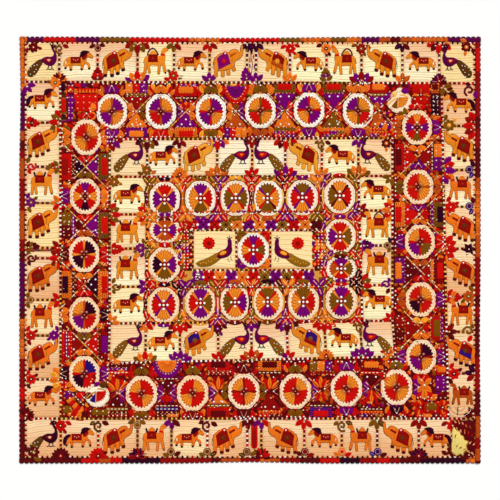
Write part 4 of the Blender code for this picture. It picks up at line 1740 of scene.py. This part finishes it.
def block(heap, corners, code):
    """One piece of the band's patchwork, by its letters.

    Its dyes lie side by side.  After "=" comes a jagged piece sewn on it, after "^" teeth, and after "("
    what lies in a bowl of the first dye.  "." sews pale dots over it, and "-" short cream stitches.  "|"
    makes it as high as a piece that has another sewn on it.
    """
    def drawn(*shares):
        return [between(corners, *place) for place in shares]

    plain = code.strip(".-|")
    mark = next((sign for sign in "=^(" if sign in plain), "")
    dyes, other = plain.split(mark) if mark else (plain, "")
    if mark == "(":
        bowl(heap, corners, dyes, other)
        return
    width, turn = way(*drawn((0, 0.5), (1, 0.5)))
    length, _ = way(*drawn((0.5, 0), (0.5, 1)))
    for n, dye in enumerate(dyes):
        low, high = n / len(dyes), (n + 1) / len(dyes)
        heap.cut(shrunk(turned_left(drawn((low, 0), (high, 0), (high, 1), (low, 1))), 0.8), dye, 1)
    if mark == "=":
        inner = turned_left(drawn((0.2, 0.1), (0.8, 0.1), (0.8, 0.62), (0.2, 0.62)))
        heap.cut(jagged(inner, 5.5, 13), other, 2, rim=1.2)
        strokes = [((0.1 + 0.1 * n, 0.72), (0.06 + 0.11 * n, 0.94)) for n in range(9)]
        for near, far in ((0.03, 0.15), (0.97, 0.85)):
            strokes += [((near, down), (far, down + 0.04)) for down in (0.14, 0.34, 0.54)]
        for stroke in strokes:
            heap.cord(drawn(*stroke), deep_dye(dyes[0], "r"), 3.2, 2)
    elif mark:
        teeth = max(3, round(width / 17))
        for n in range(teeth):
            tooth = drawn(((n + 0.04) / teeth, 0.9), ((n + 0.96) / teeth, 0.9), ((n + 0.5) / teeth, 0.1))
            heap.cut(tooth, other, 2, rim=1.2)
    if "." in code:
        pitch = 25 if min(width, length) < 45 else 33
        wide, long = max(2, round(width / pitch)), max(1, round(length / pitch))
        for n in range(wide * long):
            place = between(corners, (n % wide + 0.5) / wide, (n // wide + 0.5) / long)
            heap.knot(*place, 8, heap.chance.choice("cssl"), 4, 6)
    if "-" in code:
        count = max(3, round(width / 19))
        for n in range(count):
            place = between(corners, (n + 0.5) / count, 0.5)
            heap.cut(placed(box(11, 4.5), *place, turn), "c", 2, rim=0.8)


def wedge(heap, middle, out, half, reach, rows):
    """Stacked rows of small cut pieces, and the jagged triangle that joins them to a crossing.

    out is the turn of the way that the wedge opens, half its greatest half width and reach its length.
    """
    *bands, point = rows.split()
    slope = half / (reach * 0.42 - CROSSING_GAP)

    def at(side, away):
        return placed([(away, side)], *middle, out)[0]

    def half_at(away):
        return min(half, (away - CROSSING_GAP) * slope)

    away = reach
    for row, after in zip(bands, bands[1:] + [""]):
        low = away - next((height for sign, height in ROW_HEIGHTS.items() if sign in row), ROW_HEIGHT)
        near, far = half_at(low), half_at(away)
        block(heap, Corners(at(far, away), at(-far, away), at(-near, low), at(near, low)), row)
        if "-" not in row + after:
            for place, _ in along_line(at(-near, low), at(near, low), 19):
                heap.knot(*place, 5.5, heap.chance.choice("sslc"), 2, 6)
        away = low
    width = half_at(away)
    triangle = turned_left([at(-width + 3, away - 4), at(0, CROSSING_GAP), at(width - 3, away - 4)])
    dye, dots = point[0], int(point[1])
    if dots:
        heap.cut(jagged(triangle, 3.5, 13), dye, 1, rim=1.4)
    else:
        for n in (-2, 2, -1, 1, 0):
            reach = (away - CROSSING_GAP) * (0.85 - 0.05 * abs(n))
            veined_leaf(heap, *at(4 * n, CROSSING_GAP + 2), out + 21 * n, reach, 19, "r" if n % 2 else dye)
    for side, depth in ((-0.38, 0.21), (0.38, 0.21), (0, 0.55))[:dots]:
        heap.knot(*at(side * width, away - depth * (away - CROSSING_GAP)), 10, "w", 4)


def crossing(heap, middle, along, pitch, reach_out, reach_in, rows, stitches):
    """Two crossed lines of short stitches and the wedges that they bound.  along is the band's own turn."""
    out_rows, in_rows = rows.split("/")
    wedge(heap, middle, along + 90, pitch * WEDGE_HALF, reach_out, out_rows)
    wedge(heap, middle, along - 90, pitch * WEDGE_HALF, reach_in, in_rows)
    for side in (1, -1):
        reach = pitch * CROSS_REACH
        start, end = placed([(-side * reach, reach), (side * reach, -reach)], *middle, along)
        heap.cord([start, end], heap.chance.choice("dm"), 11, 2)
        for place, turn in along_line(start, end, 23):
            heap.cut(placed(box(19, 5.5), *place, turn), heap.chance.choice(stitches), 3, rim=1.0)


def two_lobed(heap, x, y, turn, width, depth, dye):
    """A heart whose lobes point the way that it is turned, with three couched threads and a knot."""
    heap.cut(placed(heart(width, depth), x, y, turn - 90), dye, 2, rim=1.4)
    for side in (-1, 0, 1):
        line = [(depth * 0.2, side * width * 0.06), (depth * (0.86 - 0.1 * abs(side)), side * width * 0.2)]
        heap.cord(placed(line, x, y, turn), "s" if side and dye in "pdmkr" else deep_dye(dye), 2.6, 3)
    heap.knot(*placed([(depth * 0.12, 0)], x, y, turn)[0], 8.5, "w", 4)


def shoulders(heap, x, y, out, room, dyes):
    """Slanted leaves either side of a heart, over the roundel's two corners."""
    for side in (-1, 1):
        for n, dye in enumerate(dyes):
            root = placed([(-14 + 15 * n, side * (43 - 3 * n))], x, y, out)[0]
            veined_leaf(heap, *root, out + side * (38 - 14 * n), min(room, 46), 19, dye, 1)
        for knot in placed([(room - 8, side * 22), (room - 8, side * 44)], x, y, out):
            heap.knot(*knot, 8, "w", 3)


GAP_LEAVES = "rrdoormtbdrop"
UNDER_ROUNDEL = 0.44  # of a roundel's width and length: nearer to its middle than that nothing is sewn
SCATTER_PLY = 0.3


def scatter(heap, corners, pitch=21.0, size=(25, 15)):
    """Small cut leaves and dots that fill the gaps between roundels, lowest of all."""
    rows = round((corners.top_left[1] - corners.bottom_left[1]) / pitch)
    columns = round((corners.top_right[0] - corners.top_left[0]) / pitch)
    for j in range(rows):
        for i in range(columns):
            shift = (heap.chance.uniform(-0.3, 0.3), heap.chance.uniform(-0.3, 0.3))
            x, y = between(corners, (i + 0.5 + shift[0]) / columns, (j + 0.5 + shift[1]) / rows)
            under = any(hypot((x - rx) / line.width, (y - ry) / line.length) < UNDER_ROUNDEL
                        for line in ROUNDELS for rx, ry in zip(line.xs, line.ys))
            turn = heap.chance.uniform(0, 360)
            dye = heap.chance.choice(GAP_LEAVES)
            dotted = heap.chance.random() < 0.16
            if not under:
                heap.cut(placed(leaf(*size, 4), x, y, turn), dye, SCATTER_PLY)
                if dotted:
                    heap.knot(x, y, 7.5, heap.chance.choice("wwsc"), 1, 6)


# The band's four sides: the turn of each, how far out and in it reaches, the dyes of its stitches, and where
# leaves are scattered.  A corner's small roundel may come before or after a side's own ones.
BandSide = namedtuple("BandSide", "along outer inner stitches scattered before after", defaults=((), ()))
BAND_SIDES = {
    "band_top": BandSide(0, 872, 580, "clsytd", Corners((-975, 866), (985, 860), (985, 590), (-975, 590)),
                         after=((774, 735),)),
    "band_bottom": BandSide(180, -874, -572, "rdmstm",
                            Corners((-975, -595), (1015, -565), (1015, -868), (-975, -868)),
                            before=((-815, -741),)),
    "band_left": BandSide(90, -984, -732, "clsytd",
                          Corners((-978, 585), (-742, 585), (-742, -590), (-978, -590))),
    "band_right": BandSide(-90, 1012, 748, "clsytd",
                           Corners((758, 585), (1000, 585), (1015, -560), (768, -560))),
}
# A hair higher than the rest, so that no piece shares a plane with one of another heap that it meets
UPRIGHT_HAIR = 0.022
CORNER_HAIR = 0.011
WAYS = ((0, 1), (1, 0), (0, -1), (-1, 0))


def band_side(line):
    """All that is sewn between and round the roundels of one side of the band."""
    side = BAND_SIDES[line.name]
    downwards = abs(side.along) == 90
    heap = Heap(BAND_TOP + (UPRIGHT_HAIR if downwards else 0), "patchwork " + line.name)
    scatter(heap, side.scattered)
    places = tuple(zip(line.xs, line.ys))
    stops = side.before + places + side.after
    axis = 0 if downwards else 1
    for a, b, rows in zip(stops, stops[1:], CROSSINGS[line.name]):
        middle = mix_points(a, b, 0.5)
        reaches = abs(side.outer - middle[axis]) - 5, abs(middle[axis] - side.inner) - 5
        crossing(heap, middle, side.along, way(a, b)[0], *reaches, rows, side.stitches)
    for (x, y), around in zip(places, line.around.split()):
        for dye, (dx, dy) in zip(around, WAYS):
            edge = abs(dx) * line.width / 2 + abs(dy) * line.length / 2
            across = bool(dx) == downwards
            depth = 46 if across else 34
            root = (x + dx * (edge + depth - 1), y + dy * (edge + depth - 1))
            two_lobed(heap, *root, degrees(atan2(-dy, -dx)), 78 if across else 92, depth, dye)
            if across:
                at = (x, y)[axis]
                limit = side.outer if (dx + dy) * (side.outer - at) > 0 else side.inner
                start = heap.chance.randrange(8)
                dyes = [SHOULDER_DYES[line.name][(start + n) % 8] for n in range(3)]
                flat = (x + dx * edge, y + dy * edge)
                shoulders(heap, *flat, degrees(atan2(dy, dx)), abs(limit - at) - edge, dyes)
    heap.joined("patchwork_" + line.name)


def band_corners():
    """What fills the band's four corners: blocks, and a flower of crossed leaves in one of them."""
    heap = Heap(BAND_TOP + CORNER_HAIR, "band corners")
    for x, y, width, length, code, *turn in CORNER_BLOCKS:
        low_left, low_right, top_right, top_left = placed(box(width, length), x, y, *turn)
        block(heap, Corners(top_left, top_right, low_right, low_left), code)
    for form, *choices in CORNER_SPRIGS:
        SPRIGS[form](Sprig(heap, *choices))
    for n in range(4):
        veined_leaf(heap, 906, -702, 45 + 90 * n, 52, 25, "o", 3)
    heap.knot(906, -702, 10, "w", 5)
    heap.joined("patchwork_corners")


# The field inside the ring


LEAF_HEARTS = {"b": "y", "g": "t", "o": "y", "t": "y", "l": "n", "n": "l"}  # the cord on a leaf of each dye


def plant(heap, x, y, dye, outward_x, outward_y, ply):
    """Three leaves from one point: two open away from the row of roundels, one lies along the roundel."""
    stem_turn = -90 * outward_y + 20 * outward_x * outward_y
    for turn in (90 * outward_y - 40, 90 * outward_y + 40, stem_turn):
        heap.cut(placed(leaf(57, 31, 7), x, y, turn), dye, ply, rim=4.0, edge=0.4)
        vein = placed([(14, 0), (42, 0)], x, y, turn)
        heap.cord(vein, LEAF_HEARTS.get(dye, "s"), 5.0, ply + 1)
    heap.knot(x, y, 8, "w", ply + 2)


def gap_chain(heap, x, y, dyes):
    """Short upright cords side by side between two roundels."""
    for n, dye in enumerate(dyes):
        shift = (n - (len(dyes) - 1) / 2) * 10.5
        line = [(x + shift * 1.4, y - 44), (x + shift * 0.8, y), (x + shift * 1.4, y + 44)]
        heap.cord(curved(line, 3, closed=False), dye, 10, 2)
    for up in (-38, 0, 38):
        heap.knot(x, y + up, 7, "w", 3)


# The dyes of the cords before each roundel of the two long lines, from the left
GAP_DYES = {
    "field_top": ("mkb", "mob", "rmr", "mdb", "ymy", "rmy"),
    "field_bottom": ("mky", "mdl", "rsr", "mkg", "gmd", "dml"),
}
# Where leaves are scattered in the field
FIELD_GAPS = (
    Corners((-565, 372), (565, 372), (565, 182), (-565, 182)),
    Corners((-565, -182), (565, -182), (565, -372), (-565, -372)),
    Corners((-565, 182), (-395, 182), (-395, -182), (-565, -182)),
    Corners((400, 182), (565, 182), (565, -182), (400, -182)),
    Corners((-395, 182), (-332, 182), (-332, -190), (-395, -190)),
    Corners((378, 182), (402, 182), (402, -190), (338, -190)),
)
# Each line's hearts, over and under its roundels
FIELD_HEARTS = {
    "field_top": ("km", "bp", "gb", "bt", "pr", "rt"), "field_bottom": ("rp", "bg", "tm", "kb", "bd", "pr"),
    "field_side": ("pm", "rk"), "field_short": ("pr", "br"), "middle": ("pr",),
}
SHORT_LINE_PLY = 2.03  # a hair over the ply of the long lines' hearts, which theirs meet
# Two panels of leaves, in columns: the place of each column and its leaves' dyes, from its top
LEAF_COLUMNS = ((-350, "rpobmrgdporb"), (-332, "dmrbrpmrodbr"), (-314, "rbrogdprborm"),
                (347, "mbropgrdbrom"), (365, "rdmrobrmpdrb"), (383, "orpbgmrdobpr"))


def over_squares(x, y, up):
    """Whether a piece at that end of a roundel reaches over the little squares."""
    return up * y < 0 and abs(x) < 400 and abs(y) > 200


def field_line(heap, line):
    """What is sewn round a line of the field's roundels."""
    half_width, half_length = line.width / 2, line.length / 2
    heart_ply = 2 if len(line.xs) > 2 else SHORT_LINE_PLY
    for x, y, around, pair in zip(line.xs, line.ys, line.around.split(), FIELD_HEARTS[line.name]):
        if line.kind == "field":
            for dye, (side, up) in zip(around, ((-1, 1), (1, 1), (-1, -1), (1, -1))):
                root = x + side * (half_width - 5), y + up * (half_length - 14)
                plant(heap, *root, dye, side, up, 5 if over_squares(x, y, up) else 2)
        for dye, up in zip(pair, (1, -1)):
            ply = 5 if over_squares(x, y, up) else heart_ply
            heap.cut(placed(heart(64, 24), x, y + up * (half_length + 24), 90 + 90 * up), dye, ply, rim=1.3)
            heap.knot(x, y + up * (half_length + 14), 8, "w", 3)
    befores = (line.xs[0] - 184, *line.xs)
    for before, x, y, dyes in zip(befores, line.xs, line.ys, GAP_DYES.get(line.name, ())):
        gap_chain(heap, (before + x) / 2, y, dyes)


def leaf_columns(heap):
    """The dark panels of leaves beside the two panels with peacocks."""
    for x, dyes in LEAF_COLUMNS:
        heap.cut(placed(box(24, 212), x, -2), "m", 1)
        for n, dye in enumerate(dyes):
            y = 94 - n * 17
            heap.cut(placed(leaf(33, 24), x - 9, y - 9, 40 if n % 2 else 112), dye, 2, rim=1.2)
            heap.knot(x + (8 if n % 2 else -8), y + 2, 7.5, heap.chance.choice("wwcy"), 3)


def middle_leaves(heap):
    """Two leaves at each corner of the middle roundel."""
    for side, up, dye in ((-1, 1, "b"), (1, 1, "r"), (-1, -1, "p"), (1, -1, "o")):
        x, y, tilt = 17 + side * 80, up * 90, 10 * side * up
        veined_leaf(heap, x, y, -90 * up - tilt, 50, 22, dye)
        veined_leaf(heap, x, y, 90 + 90 * side + tilt, 48, 22, dye, 3)


def heart_rows(heap):
    """A row of small hearts and knots over the upper squares, and one under the lower squares."""
    for edge, up in ((192, 1), (-186, -1)):
        for n in range(27):
            x = -330 + 27 * n
            heap.cut(placed(heart(25, 15, 4), x, edge, 90 - 90 * up), heap.chance.choice("rpmbotd"), 2)
            heap.knot(x + 13, edge + 3 * up, 6, "w", 2, 6)


def field_pieces():
    """All that is sewn between the field's roundels."""
    heap = Heap(BAND_TOP, "field")
    for corners in FIELD_GAPS:
        scatter(heap, corners, 19, (21, 9))
    for line in ROUNDELS:
        if line.kind in ("field", "middle"):
            field_line(heap, line)
    leaf_columns(heap)
    middle_leaves(heap)
    heart_rows(heap)
    heap.joined("field_pieces")


def square_flower(heap, x, y, width, length, dye):
    """Four round petals that fill a little square, marked out by couched threads and pale notches."""
    deep = deep_dye(dye)
    outline = []
    for turn in range(0, 360, 9):
        reach = 0.8 + 0.4 * abs(sin(radians(2 * turn))) ** 0.7
        outline.append(on_oval(x, y, width, length, turn, reach))
    heap.cut(outline, dye, 1, rim=1.5)
    for turn in (45, 135, 225, 315):
        heap.cord([on_oval(x, y, width, length, turn, reach) for reach in (0.24, 0.96)], deep, 3.0, 2)
        for side in (-14, 14):
            stitch = [on_oval(x, y, width, length, turn + side, reach) for reach in (0.52, 0.92)]
            heap.cord(stitch, "y" if dye in "ob" else deep, 2.2, 2)
    heap.cut(circle_at(x, y, 11, 8), deep, 3)
    for up in (1, -1):
        notch = [(-4, 0), (4, 0), (6, length * 0.2), (-6, length * 0.2)]
        heap.cut(placed(notch, x, y + up * length * 0.33, 90 - 90 * up), "c", 2)


PANEL_SASH = 8.0  # the width of the sashing round the panels


def little_squares():
    """Two rows of little squares over and under the panels."""
    for row in SQUARES:
        count = len(row.dyes)
        patchwork(row.name, row.corners, (1,) * count, ("cream",) * count,
                  slope=SQUARE_SLOPE)
        heap = Heap(PATCH_TOP - 0.7, row.name)
        upper, lower = row.corners.top_left[1] - row.drop, row.corners.bottom_left[1] - 4
        drawn = Corners((row.corners.top_left[0], upper), (row.corners.top_right[0], upper),
                        (row.corners.bottom_right[0], lower), (row.corners.bottom_left[0], lower))
        width = drawn.top_right[0] - drawn.top_left[0]
        length = upper - lower
        for n, dye in enumerate(row.dyes):
            middle = between(drawn, (n + 0.5) / count, 0.5)
            square_flower(heap, *middle, width / count, length, dye)
            if n:
                heap.knot(*between(drawn, n / count, 0.5), 14, "w", 2, 8)
        sash(heap, drawn.top_left, drawn.top_right, PANEL_SASH)
        sash(heap, drawn.bottom_left, drawn.bottom_right, PANEL_SASH)
        heap.joined(row.name + "_flowers")


def panel_sashing():
    """Sashing down both sides of each panel."""
    heap = Heap(SEAM_TOP, "panel sashing")
    for corners in (LEFT_PANEL, RIGHT_PANEL):
        sash(heap, corners.top_left, corners.bottom_left, PANEL_SASH)
        sash(heap, corners.top_right, corners.bottom_right, PANEL_SASH)
    heap.joined("sashing_panels")


# The whole quilt


PATCH_CLOTHS = {
    "border_top": "gold blush blush lemon blush peach blush peach lemon lemon lemon blush gold",
    "border_bottom": "dusk dusk dusk dusk peach dusk dusk dusk dusk dusk dusk dusk dusk",
    "border_left": "blush peach blush gold peach dusk peach dusk dusk",
    "border_right": "coral peach blush peach dusk peach dusk dusk",
    "ring_top": "peach cream peach cream cream peach lemon peach",
    "ring_bottom": "peach lemon peach peach blush peach lemon blush",
    "ring_left": "lemon peach blush lemon",
    "ring_right": "lemon lemon blush lemon",
}


def quilt():
    ground_piece = ground()
    band_cloths()
    for n, strip in enumerate(STRIPS):
        cloths = PATCH_CLOTHS[strip.name].split()
        patchwork(strip.name, strip_corners(strip), strip.widths, cloths,
                  is_upright(strip), seed=n)
        sashing_of(strip)
        figures_on(strip)
        sprigs_of(strip)
    for side in SIDES:
        edging(side)
        bead_row(side)
    for line in ROUNDELS:
        if line.kind == "band":
            band_side(line)
    band_corners()
    roundel_lines()
    field_pieces()
    little_squares()
    panel_peacock("panel_left", LEFT_PANEL, 1)
    panel_peacock("panel_right", RIGHT_PANEL, -1)
    panel_sashing()
    return ground_piece


# Floor, light and camera


# In metres
VIEW_WIDTH = 2.600  # of floor across the picture
VIEW_HEIGHT = 7.0
FLOOR_HALF = 9.0
FLOOR_STEP = 3.0
FLOOR_LEVEL = -0.0002
SENSOR = 36.0  # mm


def floor():
    """Backdrop paper, a hair under the quilt."""
    mesh = bpy.data.meshes.new("floor")
    lines = [-FLOOR_HALF + FLOOR_STEP * n for n in range(round(2 * FLOOR_HALF / FLOOR_STEP) + 1)]
    places = [(x, y, FLOOR_LEVEL) for y in lines[::-1] for x in lines]
    mesh.from_pydata(places, [], grid_faces(len(lines), len(lines)))
    mesh.materials.append(PAPER)
    made = bpy.data.objects.new("floor", mesh)
    bpy.context.scene.collection.objects.link(made)
    return made


def light():
    """A broad soft lamp from the top of the quilt, and even light from all round."""
    lamp = bpy.data.lights.new("key", "SUN")
    lamp.energy = 2.6
    lamp.angle = radians(14)
    lamp.color = (1.0, 0.985, 0.96)
    made = bpy.data.objects.new("key", lamp)
    made.rotation_euler = (radians(-48), radians(14), 0)
    bpy.context.scene.collection.objects.link(made)
    world = bpy.data.worlds.new("studio")
    world.use_nodes = True
    world.node_tree.nodes["Background"].inputs["Color"].default_value = (1.0, 1.0, 1.0, 1)
    world.node_tree.nodes["Background"].inputs["Strength"].default_value = 0.50
    bpy.context.scene.world = world


def camera():
    """Straight above the quilt, with its top edge up."""
    lens = bpy.data.cameras.new("camera")
    lens.sensor_width = SENSOR
    lens.lens = SENSOR * VIEW_HEIGHT / VIEW_WIDTH
    made = bpy.data.objects.new("camera", lens)
    made.location = (0, 0, VIEW_HEIGHT)
    bpy.context.scene.collection.objects.link(made)
    bpy.context.scene.camera = made


bpy.context.scene.view_settings.view_transform = "Standard"
bpy.context.scene.view_settings.look = "None"
camera()
light()
backdrop = floor()
ground_piece = quilt()
